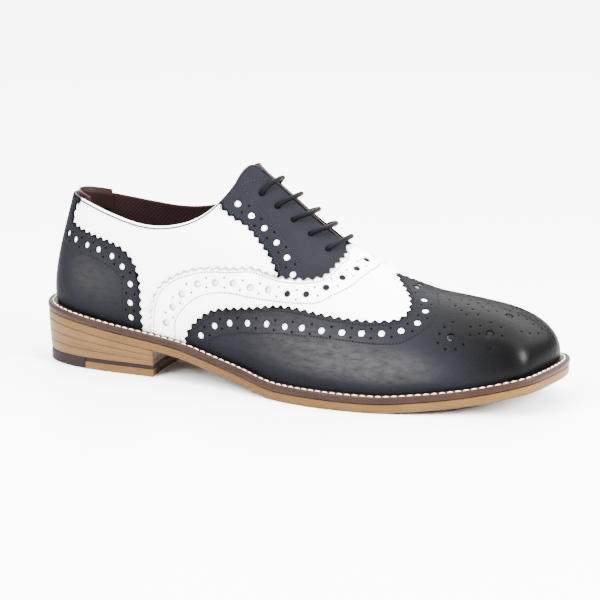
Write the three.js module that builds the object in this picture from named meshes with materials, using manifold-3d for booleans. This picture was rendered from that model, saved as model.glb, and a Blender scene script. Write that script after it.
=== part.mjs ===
// A wingtip brogue for the right foot: a five-eyelet Oxford on a leather sole with a stacked heel.
// Millimetres. X runs from heel to toe, -Y is the outer side of the foot, +Z is up.
import * as THREE from 'three';
import Module from 'manifold-3d';
import { mergeVertices } from 'three/addons/utils/BufferGeometryUtils.js';

// Driving dimensions of the sole
const outsoleLength = 298.4;
const heelSeatWidth = 72.2;
const waistWidth = 69.6;
const ballWidth = 105;
const toeSwing = 4.6;
const heelSeatHeight = 24.3;
const toeSpring = 14.7;
const outsoleThickness = 4.6;
const weltThickness = 3.6;
const weltBand = 13;
const outsoleInset = 0.4;
const insoleThickness = 2;
const breastStation = 5.13;
const breastHollow = 4;
const heelTaper = 1.2;
const liftCount = 3;
const tipThickness = 4;
const randThickness = 1.6;
const rubberStation = 3.3;

// Driving dimensions of the upper
const heelMargin = 4.7;
const foreMargin = 5.9;
const collarRise = 60.6;
const collarWidth = 57.6;
const collarDip = 3;
const facingRise = 100.3;
const toeBoxRise = 34;
const throatGap = 5.2;
const wall = 2.2;
const overlayThickness = 1.2;
const overlayGap = 0.3;
const fit = 0.3;
const tongueThickness = 1.6;
const tongueClearance = 0.8;
const tabRise = 2.4;
const tabDepth = 9;
const tabThickness = 1;
const laceDiameter = 2.6;
const laceSides = 8;
const laceSteps = 12;

// Sides and stations: station 0 is the back of the heel and the last one is the tip of the toe
const LATERAL = -1;
const MEDIAL = 1;
const TOE = 17;
const peakFoot = 12.9;
const wingEndLean = 0.05;
const wingShare = 0.7;
const tongueTop = 9.05;
const tongueFoot = 12.2;
const tongueHeights = [0.76, 0.84, 0.92, 1];
const tabStation = 2.3;
const seamStations = 0.03;
const seamHeight = 0.006;
const seamTurn = 0.1;

// Fineness of the faces, and how far the cutters reach past what they cut
const ribCells = 8;
const capColumns = 33;
const vampColumns = 23;
const facingColumns = 17;
const counterColumns = 23;
const tongueRows = 9;
const tabColumns = 13;
const slabCells = 4;
const liftRows = 12;
const frontRows = 6;
const rearRows = 8;
const cutterRows = 4;
const cutterReach = 2.5;
const overrun = 0.04;
const slimOverrun = 0.01;
const loopStep = 0.001;
const ridgeStep = 0.02;
const faceStep = 0.01;
const mergeDistance = 0.0005;
const lap = 4;

const overlayDepth = overlayThickness + overlayGap;
const lining = overlayDepth + wall;

// Rows of a table as objects: each row's values stand under the names in columns
function table(columns, ...rows) {
  return rows.map((row) => Object.fromEntries(columns.map((name, i) => [name, row[i]])));
}

// Edge of the sole, seen from above: x is a share of the length, lateral and medial are shares of the
// width named by of, swing is the share of the toe's swing to the medial side
const edgeRows = table(
  ['at', 'xLateral', 'xMedial', 'lateral', 'medial', 'of', 'swing'],
  ['heel back', 0, 0, 0, 0, heelSeatWidth, 0],
  ['heel corner', 0.012, 0.012, 0.215, 0.21, heelSeatWidth, 0],
  ['heel curve', 0.045, 0.045, 0.367, 0.364, heelSeatWidth, 0],
  ['heel side', 0.099, 0.099, 0.463, 0.464, heelSeatWidth, 0],
  ['heel seat', 0.169, 0.169, 0.501, 0.499, heelSeatWidth, 0],
  ['heel breast', 0.252, 0.252, 0.512, 0.464, heelSeatWidth, 0],
  ['waist', 0.339, 0.336, 0.56, 0.44, waistWidth, 0],
  ['shank', 0.416, 0.406, 0.61, 0.457, waistWidth, 0],
  ['joint rear', 0.473, 0.463, 0.458, 0.333, ballWidth, 0],
  ['joint', 0.523, 0.513, 0.505, 0.371, ballWidth, 0],
  ['ball rear', 0.586, 0.573, 0.548, 0.415, ballWidth, 0],
  ['ball', 0.66, 0.643, 0.561, 0.451, ballWidth, 0],
  ['forefoot', 0.736, 0.716, 0.532, 0.465, ballWidth, 0],
  ['toe shoulder', 0.816, 0.801, 0.471, 0.434, ballWidth, 0.1],
  ['toe side', 0.887, 0.872, 0.404, 0.38, ballWidth, 0.25],
  ['toe curve', 0.958, 0.945, 0.325, 0.318, ballWidth, 0.45],
  ['toe corner', 0.986, 0.983, 0.215, 0.195, ballWidth, 0.75],
  ['toe tip', 1, 1, 0, 0, ballWidth, 1],
);

// Underside of the outsole, seen from the side: z is a share of the height named by of
const undersideRows = table(
  ['at', 'x', 'z', 'of'],
  ['heel back', 0, 1, heelSeatHeight],
  ['heel curve', 0.069, 0.914, heelSeatHeight],
  ['heel seat', 0.169, 0.753, heelSeatHeight],
  ['heel breast', 0.252, 0.626, heelSeatHeight],
  ['waist', 0.329, 0.49, heelSeatHeight],
  ['arch', 0.396, 0.29, heelSeatHeight],
  ['shank', 0.463, 0.133, heelSeatHeight],
  ['joint', 0.519, 0.012, heelSeatHeight],
  ['tread back', 0.569, 0, heelSeatHeight],
  ['tread', 0.643, 0, heelSeatHeight],
  ['tread front', 0.72, 0, toeSpring],
  ['toe shoulder', 0.79, 0.12, toeSpring],
  ['toe side', 0.87, 0.335, toeSpring],
  ['toe curve', 0.937, 0.62, toeSpring],
  ['toe tip', 1, 0.94, toeSpring],
);

// Ribs of the upper, one for each row of the edge, from the welt up to the collar, the facings' front
// edges and then the ridge over the toes. x, centre and rise give the rib's top: shares of the length,
// the toe's swing and the rise named by of. The handles are shares of the rib's chord, and dip is a
// share of the collar's dip below the outer ankle.
const ribRows = table(
  ['at', 'station', 'x', 'centre', 'rise', 'of', 'footOut', 'footUp', 'topOut', 'topAlong', 'topUp',
    'dip'],
  ['heel back', 0, 0.046, 0, 1, collarRise, 0.05, 0.266, 0.07, 0, -0.299, 0],
  ['heel corner', 1, 0.056, 0, 0.998, collarRise, 0.053, 0.266, 0.076, 0, -0.299, 0],
  ['heel curve', 2, 0.084, 0, 0.993, collarRise, 0.06, 0.266, 0.087, 0, -0.299, 0],
  ['heel side', 3, 0.126, -0.02, 0.98, collarRise, 0.068, 0.27, 0.105, 0, -0.321, 0],
  ['ankle', 4, 0.182, -0.07, 0.965, collarRise, 0.069, 0.293, 0.112, 0, -0.344, 0.05],
  ['collar low', 5, 0.252, -0.18, 0.99, collarRise, 0.05, 0.301, 0.117, 0, -0.351, 0.6],
  ['collar front', 6, 0.326, -0.28, 1.127, collarRise, 0.022, 0.29, 0.138, 0, -0.334, 1],
  ['collar climb', 7, 0.378, -0.26, 0.822, facingRise, 0.006, 0.267, 0.145, 0, -0.29, 0.62],
  ['facing back', 8, 0.406, -0.12, 0.951, facingRise, -0.005, 0.239, 0.143, 0, -0.21, 0.1],
  ['facing top', 8.5, 0.417, -0.04, 1, facingRise, -0.007, 0.222, 0.137, 0, -0.168, 0],
  ['facing corner', 9, 0.431, 0, 0.986, facingRise, -0.009, 0.227, 0.14, 0, -0.131, 0],
  ['facing middle', 10, 0.499, 0, 0.87, facingRise, -0.005, 0.243, 0.175, 0, -0.088, 0],
  ['throat', 11, 0.583, 0, 0.699, facingRise, 0.006, 0.249, 0.249, 0, -0.057, 0],
  ['vamp', 12, 0.65, 0.07, 0.589, facingRise, 0.019, 0.236, 0.335, 0, -0.025, 0],
  ['cap peak', 13, 0.723, 0.31, 0.47, facingRise, 0.03, 0.252, 0.445, 0, 0, 0],
  ['toe shoulder', 14, 0.79, 0.55, 1.224, toeBoxRise, 0.038, 0.262, 0.489, 0.087, 0, 0],
  ['toe side', 15, 0.836, 0.75, 1.122, toeBoxRise, 0.045, 0.287, 0.451, 0.267, 0, 0],
  ['toe curve', 16, 0.863, 0.9, 1.049, toeBoxRise, 0.046, 0.325, 0.279, 0.465, 0, 0],
  ['toe tip', 17, 0.877, 0.95, 1, toeBoxRise, 0.049, 0.345, 0, 0.566, 0, 0],
);

// Half of the opening between the two sides: the collar, then the gap between the facings
const openingRows = table(
  ['at', 'station', 'half', 'of'],
  ['heel back', 0, 0, collarWidth],
  ['heel corner', 1, 0.148, collarWidth],
  ['heel curve', 2, 0.257, collarWidth],
  ['heel side', 3, 0.361, collarWidth],
  ['ankle', 4, 0.457, collarWidth],
  ['collar low', 5, 0.5, collarWidth],
  ['collar front', 6, 0.457, collarWidth],
  ['collar climb', 7, 0.347, collarWidth],
  ['facing back', 8, 0.194, collarWidth],
  ['facing top', 8.5, 0.097, collarWidth],
  ['facing corner', 9, 0.5, throatGap],
  ['facing middle', 10, 0.44, throatGap],
  ['throat', 11, 0.27, throatGap],
  ['throat end', 11.25, 0, throatGap],
);
const throatEnd = openingRows[openingRows.length - 1].station;

// Edges of the overlays on the upper: the station runs from heel to toe, height is the share of the
// rib there, from the welt to the top
const capEdge = table(
  ['at', 'station', 'height'],
  ['wing end', 5.85, 0],
  ['wing rise', 5.95, 0.134],
  ['wing shoulder', 6.41, 0.302],
  ['wing top', 7.22, 0.35],
  ['wing middle', 8.7, 0.345],
  ['wing front', 10.46, 0.408],
  ['curl start', 11.92, 0.477],
  ['curl side', 12.75, 0.576],
  ['curl', 13.03, 0.748],
  ['peak side', 12.85, 0.888],
  ['peak', 12.5, 1],
);
const vampEdge = table(
  ['at', 'station', 'height'],
  ['back end', 5, 0],
  ['back rise', 5.1, 0.31],
  ['back shoulder', 5.45, 0.531],
  ['hump', 6.3, 0.628],
  ['slope', 7.55, 0.547],
  ['dip', 8.99, 0.488],
  ['facing foot', 9.85, 0.507],
  ['turn', 10.58, 0.596],
  ['climb', 11.06, 0.733],
  ['tongue side', 11.22, 0.882],
  ['throat', 11.36, 1],
);
const facingEdge = table(
  ['at', 'station', 'height'],
  ['collar', 6.95, 1.01],
  ['collar side', 7.26, 0.9],
  ['upper side', 8.14, 0.72],
  ['side', 9.07, 0.597],
  ['lower side', 9.41, 0.526],
  ['foot', 9.85, 0.518],
  ['turn', 10.53, 0.606],
  ['climb', 10.99, 0.738],
  ['inner climb', 11.14, 0.88],
  ['throat', 11.2, 1.01],
);
const facingTop = table(
  ['at', 'station', 'height'],
  ['collar', 7, 1.01],
  ['top corner', 8.8, 1.01],
  ['middle', 10, 1.01],
  ['throat', 11.17, 1.01],
);
const counterEdge = table(
  ['at', 'station', 'height'],
  ['back strip top', 0, 1],
  ['strip corner', 1.9, 1],
  ['strip side', 1.66, 0.92],
  ['strip foot', 1.66, 0.84],
  ['strip turn', 1.85, 0.778],
  ['shoulder', 2.5, 0.76],
  ['top', 3.5, 0.764],
  ['corner', 4.3, 0.736],
  ['front', 4.72, 0.571],
  ['front side', 4.8, 0.307],
  ['front foot', 4.8, 0],
);

// Eyelets of one facing, and how far forward of them the lace crosses the gap
const eyelets = [
  { station: 9.2, height: 0.846 },
  { station: 9.65, height: 0.836 },
  { station: 10.04, height: 0.838 },
  { station: 10.43, height: 0.84 },
  { station: 10.84, height: 0.823 },
];
const laceLead = 0.28;
const flankLead = 0.6;
const crestLift = 1.1;
const flankLift = 0.3;
const crestHeight = 0.97;

// Natural cubic spline through rows of values, with one knot for each row
function spline(knots, rows) {
  const count = knots.length;
  const width = rows[0].length;
  const bend = rows.map(() => new Array(width).fill(0));
  const step = knots.slice(1).map((knot, i) => knot - knots[i]);
  for (let column = 0; column < width; column += 1) {
    const upper = new Array(count).fill(0);
    const value = new Array(count).fill(0);
    for (let i = 1; i < count - 1; i += 1) {
      const rise = (rows[i + 1][column] - rows[i][column]) / step[i];
      const fall = (rows[i][column] - rows[i - 1][column]) / step[i - 1];
      const pivot = 2 * (step[i - 1] + step[i]) - step[i - 1] * upper[i - 1];
      upper[i] = step[i] / pivot;
      value[i] = (6 * (rise - fall) - step[i - 1] * value[i - 1]) / pivot;
    }
    for (let i = count - 2; i > 0; i -= 1) {
      bend[i][column] = value[i] - upper[i] * bend[i + 1][column];
    }
  }
  return (at) => {
    let i = 0;
    while (i < count - 2 && at >= knots[i + 1]) i += 1;
    const h = step[i];
    const a = knots[i + 1] - at;
    const b = at - knots[i];
    return rows[i].map((start, column) => {
      const m0 = bend[i][column];
      const m1 = bend[i + 1][column];
      const end = rows[i + 1][column];
      return (m0 * a ** 3 + m1 * b ** 3) / (6 * h)
        + (start / h - m0 * h / 6) * a + (end / h - m1 * h / 6) * b;
    });
  };
}

// The sole's edge as one closed loop: lateral rows out to the toe, medial rows back to the heel
function makeEdge() {
  const lateral = edgeRows.map((row) => [
    row.xLateral * outsoleLength,
    row.swing * toeSwing - row.lateral * row.of,
  ]);
  const medial = edgeRows.map((row) => [
    row.xMedial * outsoleLength,
    row.swing * toeSwing + row.medial * row.of,
  ]);
  const loop = [...lateral, ...medial.slice(1, -1).reverse()];
  const rows = [...loop.slice(-lap), ...loop, ...loop.slice(0, lap + 1)];
  return spline(rows.map((row, i) => i - lap), rows);
}
const edgeLoop = makeEdge();

// Point of the sole's edge at a station, moved inwards by inset
function edgePoint(station, side, inset = 0) {
  const at = side === LATERAL ? station : 2 * TOE - station;
  const [x, y] = edgeLoop(at);
  const before = edgeLoop(at - loopStep);
  const after = edgeLoop(at + loopStep);
  const along = new THREE.Vector2(after[0] - before[0], after[1] - before[1]).normalize();
  const outward = new THREE.Vector2(along.y, -along.x);
  return { x: x - outward.x * inset, y: y - outward.y * inset, outward };
}

const undersideCurve = spline(
  undersideRows.map((row) => row.x * outsoleLength),
  undersideRows.map((row) => [row.z * row.of]),
);
const underside = (x) => Math.max(0, undersideCurve(x)[0]);
const outsoleTop = (x) => underside(x) + outsoleThickness;
const weltBottom = (x) => outsoleTop(x) + fit;
const weltTop = (x) => weltBottom(x) + weltThickness;

// Rows repeated in reverse past both ends, so that a curve through them is level at the heel and toe
const mirrored = [
  ...ribRows.slice(1, lap + 1).reverse().map((row) => ({ ...row, station: -row.station })),
  ...ribRows,
  ...ribRows.slice(-lap - 1, -1).reverse().map((row) => ({ ...row, station: 2 * TOE - row.station })),
];
const ribCurve = spline(mirrored.map((row) => row.station), mirrored.map((row) => [
  row.x * outsoleLength,
  row.centre * toeSwing,
  row.rise * row.of,
  row.footOut, row.footUp, row.topOut, row.topAlong, row.topUp,
  row.dip * collarDip,
]));
const openingCurve = spline(
  openingRows.map((row) => row.station),
  openingRows.map((row) => [row.half * row.of]),
);
const opening = (station) => (station < throatEnd ? openingCurve(station)[0] : 0);
const mix = THREE.MathUtils.lerp;
const ramp = (value, from, to) => THREE.MathUtils.clamp((value - from) / (to - from), 0, 1);

// Rise of the ridge for each millimetre forward
function ridgeSlope(station) {
  const front = ribCurve(Math.min(station + ridgeStep, TOE));
  const back = ribCurve(Math.min(station + ridgeStep, TOE) - 2 * ridgeStep);
  return (weltTop(front[0]) + front[2] - weltTop(back[0]) - back[2]) / (front[0] - back[0]);
}

// Outer face of the upper: a cubic rib from the welt (height 0) to the collar or ridge (height 1)
function lastPoint(station, height, side) {
  const margin = mix(heelMargin, foreMargin, ramp(station, 6, 11));
  const foot = edgePoint(station, side, margin);
  const [x, centre, rise, footOut, footUp, topOut, topAlong, topUp, dip] = ribCurve(station);
  const top = weltTop(x) + rise - (side === LATERAL ? dip : 0);
  const start = new THREE.Vector3(foot.x, foot.y, weltTop(foot.x) + fit);
  const end = new THREE.Vector3(x, centre + side * opening(station), top);
  const chord = start.distanceTo(end);
  const out = new THREE.Vector3(foot.outward.x, foot.outward.y, 0);
  const across = new THREE.Vector3(0, side, 0);
  const topWay = out.clone().lerp(across, ramp(station, 9, 10.5));
  const along = new THREE.Vector3(1, 0, ridgeSlope(station) * ramp(station, 12, 14));
  const first = start.clone().addScaledVector(out, footOut * chord);
  first.z += footUp * chord;
  const second = end.clone().addScaledVector(topWay, topOut * chord);
  second.addScaledVector(along, topAlong * chord);
  second.z += topUp * chord;
  return new THREE.CubicBezierCurve3(start, first, second, end).getPoint(height);
}

// Unit vector into the shoe, from the differences along and up the face
function inwardAt(station, height, side) {
  const stationLow = Math.max(station - faceStep, 0);
  const stationHigh = Math.min(station + faceStep, TOE);
  const along = lastPoint(stationHigh, height, side).sub(lastPoint(stationLow, height, side));
  const up = lastPoint(station, height + faceStep, side).sub(lastPoint(station, height - faceStep, side));
  return up.cross(along).multiplyScalar(-side).normalize();
}

// The same face moved inwards by depth. Both sides share their points where they meet: up the back,
// round the toe and along the ridge
function upperPoint(station, height, side, depth) {
  if (height >= 1 && station >= throatEnd) {
    const down = new THREE.Vector3(ridgeSlope(station), 0, -1).normalize();
    return lastPoint(station, height, LATERAL).addScaledVector(down, depth);
  }
  if (station > 0 && station < TOE) {
    return lastPoint(station, height, side).addScaledVector(inwardAt(station, height, side), depth);
  }
  const inward = inwardAt(station, height, LATERAL).add(inwardAt(station, height, MEDIAL)).normalize();
  return lastPoint(station, height, LATERAL).addScaledVector(inward, depth);
}

// A closed body between two faces with the same layout: quads join the points of each face, and a
// strip closes every free edge
function thickBody(outer, inner, quads) {
  const ids = new Map();
  const keep = [];
  const index = outer.map((point, i) => {
    const key = [point.x, point.y, point.z].map((value) => Math.round(value / mergeDistance)).join(' ');
    if (!ids.has(key)) {
      ids.set(key, keep.length);
      keep.push(i);
    }
    return ids.get(key);
  });
  const triangles = [];
  quads.forEach(([a, b, c, d]) => {
    [[a, b, c], [a, c, d]].forEach((corners) => {
      const [p, q, r] = corners.map((corner) => index[corner]);
      if (p !== q && q !== r && r !== p) triangles.push([p, q, r]);
    });
  });
  const free = new Map();
  triangles.forEach(([p, q, r]) => {
    [[p, q], [q, r], [r, p]].forEach(([from, to]) => {
      if (free.has(`${to} ${from}`)) free.delete(`${to} ${from}`);
      else free.set(`${from} ${to}`, [from, to]);
    });
  });
  const count = keep.length;
  const faces = [];
  triangles.forEach(([p, q, r]) => faces.push(p, q, r, r + count, q + count, p + count));
  free.forEach(([from, to]) => faces.push(from, from + count, to + count, from, to + count, to));
  const positions = [...keep.map((i) => outer[i]), ...keep.map((i) => inner[i])];
  return outwardGeometry(positions, faces);
}

// Geometry from points and triangles, turned so that its volume is positive
function outwardGeometry(points, faces) {
  let volume = 0;
  for (let i = 0; i < faces.length; i += 3) {
    const [a, b, c] = [points[faces[i]], points[faces[i + 1]], points[faces[i + 2]]];
    volume += a.dot(new THREE.Vector3().crossVectors(b, c));
  }
  if (volume < 0) {
    for (let i = 0; i < faces.length; i += 3) [faces[i], faces[i + 1]] = [faces[i + 1], faces[i]];
  }
  const geometry = new THREE.BufferGeometry();
  const values = points.flatMap((point) => [point.x, point.y, point.z]);
  geometry.setAttribute('position', new THREE.Float32BufferAttribute(values, 3));
  geometry.setIndex(faces);
  return mergeVertices(geometry, mergeDistance);
}

// Quads of a grid of columns and rows, numbered from first; turned over on the medial side
function gridQuads(columns, rows, first, side) {
  const quads = [];
  for (let i = 0; i < columns - 1; i += 1) {
    for (let j = 0; j < rows - 1; j += 1) {
      const corner = first + i * rows + j;
      const quad = [corner, corner + rows, corner + rows + 1, corner + 1];
      quads.push(side === LATERAL ? quad : quad.reverse());
    }
  }
  return quads;
}

// A sheet over the upper on the given sides: place(across, up) gives the station and height there
function upperSheet(sides, columns, rows, place, outerDepth, innerDepth) {
  const outer = [];
  const inner = [];
  const quads = [];
  sides.forEach((side) => {
    const first = outer.length;
    for (let i = 0; i < columns; i += 1) {
      for (let j = 0; j < rows; j += 1) {
        const { station, height } = place(i / (columns - 1), j / (rows - 1));
        outer.push(upperPoint(station, height, side, outerDepth));
        inner.push(upperPoint(station, height, side, innerDepth));
      }
    }
    quads.push(...gridQuads(columns, rows, first, side));
  });
  return thickBody(outer, inner, quads);
}

// An edge of an overlay as a smooth curve over its rows, from 0 to 1
function edgeCurve(rows, limit) {
  const knots = rows.map((row, i) => i / (rows.length - 1));
  const curve = spline(knots, rows.map((row) => [row.station, row.height]));
  return (t) => {
    const [station, height] = curve(t);
    return { station: Math.min(station, TOE), height: Math.min(height, limit) };
  };
}
const between = (a, b, t) => ({
  station: mix(a.station, b.station, t),
  height: mix(a.height, b.height, t),
});

// The whole upper between two depths, in the same columns and rows each time, so that layers nest
function upperLayer(outerDepth, innerDepth) {
  return upperSheet([LATERAL, MEDIAL], 2 * TOE + 1, ribCells + 1,
    (across, up) => ({ station: across * TOE, height: up }), outerDepth, innerDepth);
}

const wasm = await Module();
wasm.setup();

function toSolid(geometry) {
  return new wasm.Manifold(new wasm.Mesh({
    numProp: 3,
    vertProperties: geometry.attributes.position.array,
    triVerts: new Uint32Array(geometry.index.array),
  }));
}

function fromSolid(solid) {
  const { vertProperties, triVerts } = solid.getMesh();
  const geometry = new THREE.BufferGeometry();
  geometry.setAttribute('position', new THREE.BufferAttribute(vertProperties, 3));
  geometry.setIndex(new THREE.BufferAttribute(triVerts, 1));
  return geometry;
}

// An overlay is the part of the overlay layer inside a cutter that follows its edges
const overlayLayer = toSolid(upperLayer(0, overlayThickness));
function cutOverlay(sides, columns, place) {
  const cutter = upperSheet(sides, columns, cutterRows, place, -cutterReach, overlayThickness + cutterReach);
  return fromSolid(overlayLayer.intersect(toSolid(cutter)));
}

// The wing cap runs round the toe: its edge from the wing's end to the peak, then along the ridge
function makeWingCap() {
  const edge = edgeCurve(capEdge, 1);
  const wingEnd = capEdge[0].station;
  const peak = capEdge[capEdge.length - 1].station;
  return cutOverlay([LATERAL, MEDIAL], capColumns, (across, up) => {
    const wingPart = Math.min(across / wingShare, 1);
    const toePart = Math.max((across - wingShare) / (1 - wingShare), 0);
    const footStation = mix(mix(wingEnd + wingEndLean, peakFoot, wingPart), TOE, toePart);
    const foot = { station: footStation, height: -overrun };
    const top = toePart > 0 ? { station: mix(peak, TOE, toePart), height: 1 } : edge(wingPart);
    return between(foot, top, up);
  });
}

// The vamp lies between its own edge and the wing cap's, a seam's width apart. Its first column is a
// single point at the welt, so the sheet starts as a wedge
function makeVamp() {
  const top = edgeCurve(vampEdge, 1);
  const cap = edgeCurve(capEdge, 1);
  return cutOverlay([LATERAL, MEDIAL], vampColumns, (across, up) => {
    const edge = cap(across);
    const high = top(across);
    const upright = across < seamTurn ? 1 : Math.abs(Math.cos(Math.PI * across));
    const level = Math.sin(Math.PI * Math.min(across / (1 - seamTurn), 1));
    const seam = {
      station: edge.station - seamStations * upright,
      height: across === 1 ? 1 : edge.height + seamHeight * level,
    };
    if (across === 0) {
      seam.height = -overrun;
      high.height = -overrun;
    }
    return between(seam, high, up);
  });
}

function makeFacing(side) {
  const front = edgeCurve(facingTop, 1 + slimOverrun);
  const back = edgeCurve(facingEdge, 1 + slimOverrun);
  return cutOverlay([side], facingColumns, (across, up) => between(back(across), front(across), up));
}

function makeCounter() {
  const edge = edgeCurve(counterEdge, 1);
  const front = counterEdge[counterEdge.length - 1].station;
  return cutOverlay([LATERAL, MEDIAL], counterColumns, (across, up) => {
    const high = edge(across);
    if (high.height > 1 - slimOverrun) high.height = 1 + overrun;
    return between({ station: front * across, height: -overrun }, high, up);
  });
}

// The tongue lies under both facings and bridges the gap between them
function makeTongue() {
  const depth = lining + tongueClearance;
  const outer = [];
  const inner = [];
  for (let i = 0; i < tongueRows; i += 1) {
    const station = mix(tongueTop, tongueFoot, i / (tongueRows - 1));
    const places = [
      ...tongueHeights.map((height) => [height, LATERAL]),
      ...tongueHeights.slice().reverse().map((height) => [height, MEDIAL]),
    ];
    places.forEach(([height, side]) => {
      outer.push(upperPoint(station, height, side, depth));
      inner.push(upperPoint(station, height, side, depth + tongueThickness));
    });
  }
  return thickBody(outer, inner, gridQuads(tongueRows, 2 * tongueHeights.length, 0, LATERAL));
}

// A binding of soft leather inside the back of the collar, standing a little above it
function makeHeelTab() {
  const low = 1 - tabDepth / collarRise;
  const face = (station, side, depth) => {
    const rim = upperPoint(station, 1, side, depth);
    return [upperPoint(station, low, side, depth), rim, rim.clone().setZ(rim.z + tabRise)];
  };
  const outer = [];
  const inner = [];
  for (let i = 0; i < tabColumns; i += 1) {
    const along = mix(-tabStation, tabStation, i / (tabColumns - 1));
    const side = along < 0 ? LATERAL : MEDIAL;
    outer.push(...face(Math.abs(along), side, lining + fit));
    inner.push(...face(Math.abs(along), side, lining + fit + tabThickness));
  }
  return thickBody(outer, inner, gridQuads(tabColumns, 3, 0, LATERAL));
}

// A slab of the sole between two stations: rows across from the lateral to the medial edge. bow moves
// the front rows back at the middle, for the hollow of the heel's breast
function makeSlab({ from, to, rows, insetTop, insetBottom, top, bottom, bow = 0 }) {
  const layer = (inset, level) => {
    const points = [];
    for (let i = 0; i < rows; i += 1) {
      const station = mix(from, to, i / (rows - 1));
      const low = edgePoint(station, LATERAL, inset);
      const high = edgePoint(station, MEDIAL, inset);
      for (let j = 0; j <= slabCells; j += 1) {
        const share = j / slabCells;
        const hollow = bow * (1 - (2 * share - 1) ** 2) * (i / (rows - 1)) ** 3;
        const x = mix(low.x, high.x, share) - hollow;
        points.push(new THREE.Vector3(x, mix(low.y, high.y, share), level(x)));
      }
    }
    return points;
  };
  const quads = gridQuads(rows, slabCells + 1, 0, LATERAL);
  return thickBody(layer(insetTop, top), layer(insetBottom, bottom), quads);
}

function makeOutsole() {
  return makeSlab({
    from: 0, to: TOE, rows: 2 * TOE + 1,
    insetTop: outsoleInset, insetBottom: outsoleInset, top: outsoleTop, bottom: underside,
  });
}

// The welt is a band round the whole edge
function makeWelt() {
  const outer = [];
  const inner = [];
  const steps = 2 * TOE;
  for (let i = 0; i <= 2 * steps; i += 1) {
    const side = i <= steps || i === 2 * steps ? LATERAL : MEDIAL;
    const station = (i <= steps ? i : 2 * steps - i) / 2;
    [0, weltBand].forEach((inset) => {
      const { x, y } = edgePoint(station, side, inset);
      outer.push(new THREE.Vector3(x, y, weltTop(x)));
      inner.push(new THREE.Vector3(x, y, weltBottom(x)));
    });
  }
  return thickBody(outer, inner, gridQuads(2 * steps + 1, 2, 0, LATERAL));
}

function makeInsole() {
  const inset = foreMargin + lining + 2 * fit;
  return makeSlab({
    from: 0, to: TOE, rows: 2 * TOE + 1, insetTop: inset, insetBottom: inset,
    top: (x) => weltTop(x) + fit + insoleThickness, bottom: (x) => weltTop(x) + fit,
  });
}

const randBottom = tipThickness + fit;
const randTop = randBottom + randThickness;
const liftsBottom = randTop + fit;
const liftsTop = (x) => underside(x) - fit;

// Sheet k of the stacked heel: the stack is a wedge, and its layers share its height at each place
function makeLift(k) {
  const level = (share, gap) => (x) => mix(liftsBottom, liftsTop(x) + fit, share) - gap;
  return makeSlab({
    from: 0, to: breastStation, rows: liftRows, bow: breastHollow,
    insetTop: outsoleInset + heelTaper * (1 - (k + 1) / liftCount),
    insetBottom: outsoleInset + heelTaper * (1 - k / liftCount),
    top: level((k + 1) / liftCount, fit), bottom: level(k / liftCount, 0),
  });
}

// A flat layer under the lifts: level above and below
function makeFlatLayer({ from, to, rows, bottom, top, bow }) {
  const inset = outsoleInset + heelTaper;
  return makeSlab({
    from, to, rows, bow, insetTop: inset, insetBottom: inset, top: () => top, bottom: () => bottom,
  });
}

// The front part of the heel's foot, up to the breast
function makeFrontLayer(bottom, top) {
  const from = rubberStation + seamStations;
  return makeFlatLayer({ from, to: breastStation, rows: frontRows, bottom, top, bow: breastHollow });
}

// The rear part of the heel's foot takes the first wear
function makeRearTip() {
  return makeFlatLayer({ from: 0, to: rubberStation, rows: rearRows, bottom: 0, top: randTop, bow: 0 });
}

// One bar of the lace: from an eyelet over both facings to the other side's eyelet. The ribs lean back,
// so a bar that goes straight across leads forward along them, and most at its crest
function makeLaceBar({ station, height }) {
  const lift = -(laceDiameter / 2 + fit);
  const middle = (height + crestHeight) / 2;
  const at = (lead, level, side, more) => upperPoint(station + laceLead * lead, level, side, lift - more);
  const path = new THREE.CatmullRomCurve3([
    at(0, height, LATERAL, 0),
    at(flankLead, middle, LATERAL, flankLift),
    at(1, crestHeight, LATERAL, crestLift),
    at(1, crestHeight, MEDIAL, crestLift),
    at(flankLead, middle, MEDIAL, flankLift),
    at(0, height, MEDIAL, 0),
  ]);
  const section = new THREE.Shape();
  section.setFromPoints(Array.from({ length: laceSides }, (_, k) => {
    const turn = (k / laceSides) * Math.PI * 2;
    return new THREE.Vector2(Math.cos(turn), Math.sin(turn)).multiplyScalar(laceDiameter / 2);
  }));
  const geometry = new THREE.ExtrudeGeometry(section, {
    steps: laceSteps, extrudePath: path, bevelEnabled: false,
  });
  geometry.deleteAttribute('normal');
  geometry.deleteAttribute('uv');
  return mergeVertices(geometry, mergeDistance);
}

const finishes = {
  navy: new THREE.MeshStandardMaterial({ color: 0x434756, roughness: 0.45 }),
  white: new THREE.MeshStandardMaterial({ color: 0xf2f2ef, roughness: 0.5 }),
  lining: new THREE.MeshStandardMaterial({ color: 0x35242a, roughness: 0.75 }),
  tan: new THREE.MeshStandardMaterial({ color: 0xb89466, roughness: 0.6 }),
  brown: new THREE.MeshStandardMaterial({ color: 0x5b4038, roughness: 0.55 }),
  rubber: new THREE.MeshStandardMaterial({ color: 0x3e3134, roughness: 0.8 }),
  cord: new THREE.MeshStandardMaterial({ color: 0x23252e, roughness: 0.7 }),
};

const shoe = new THREE.Group();
function add(name, geometry, material) {
  const mesh = new THREE.Mesh(geometry, material);
  mesh.name = name;
  shoe.add(mesh);
}

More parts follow.
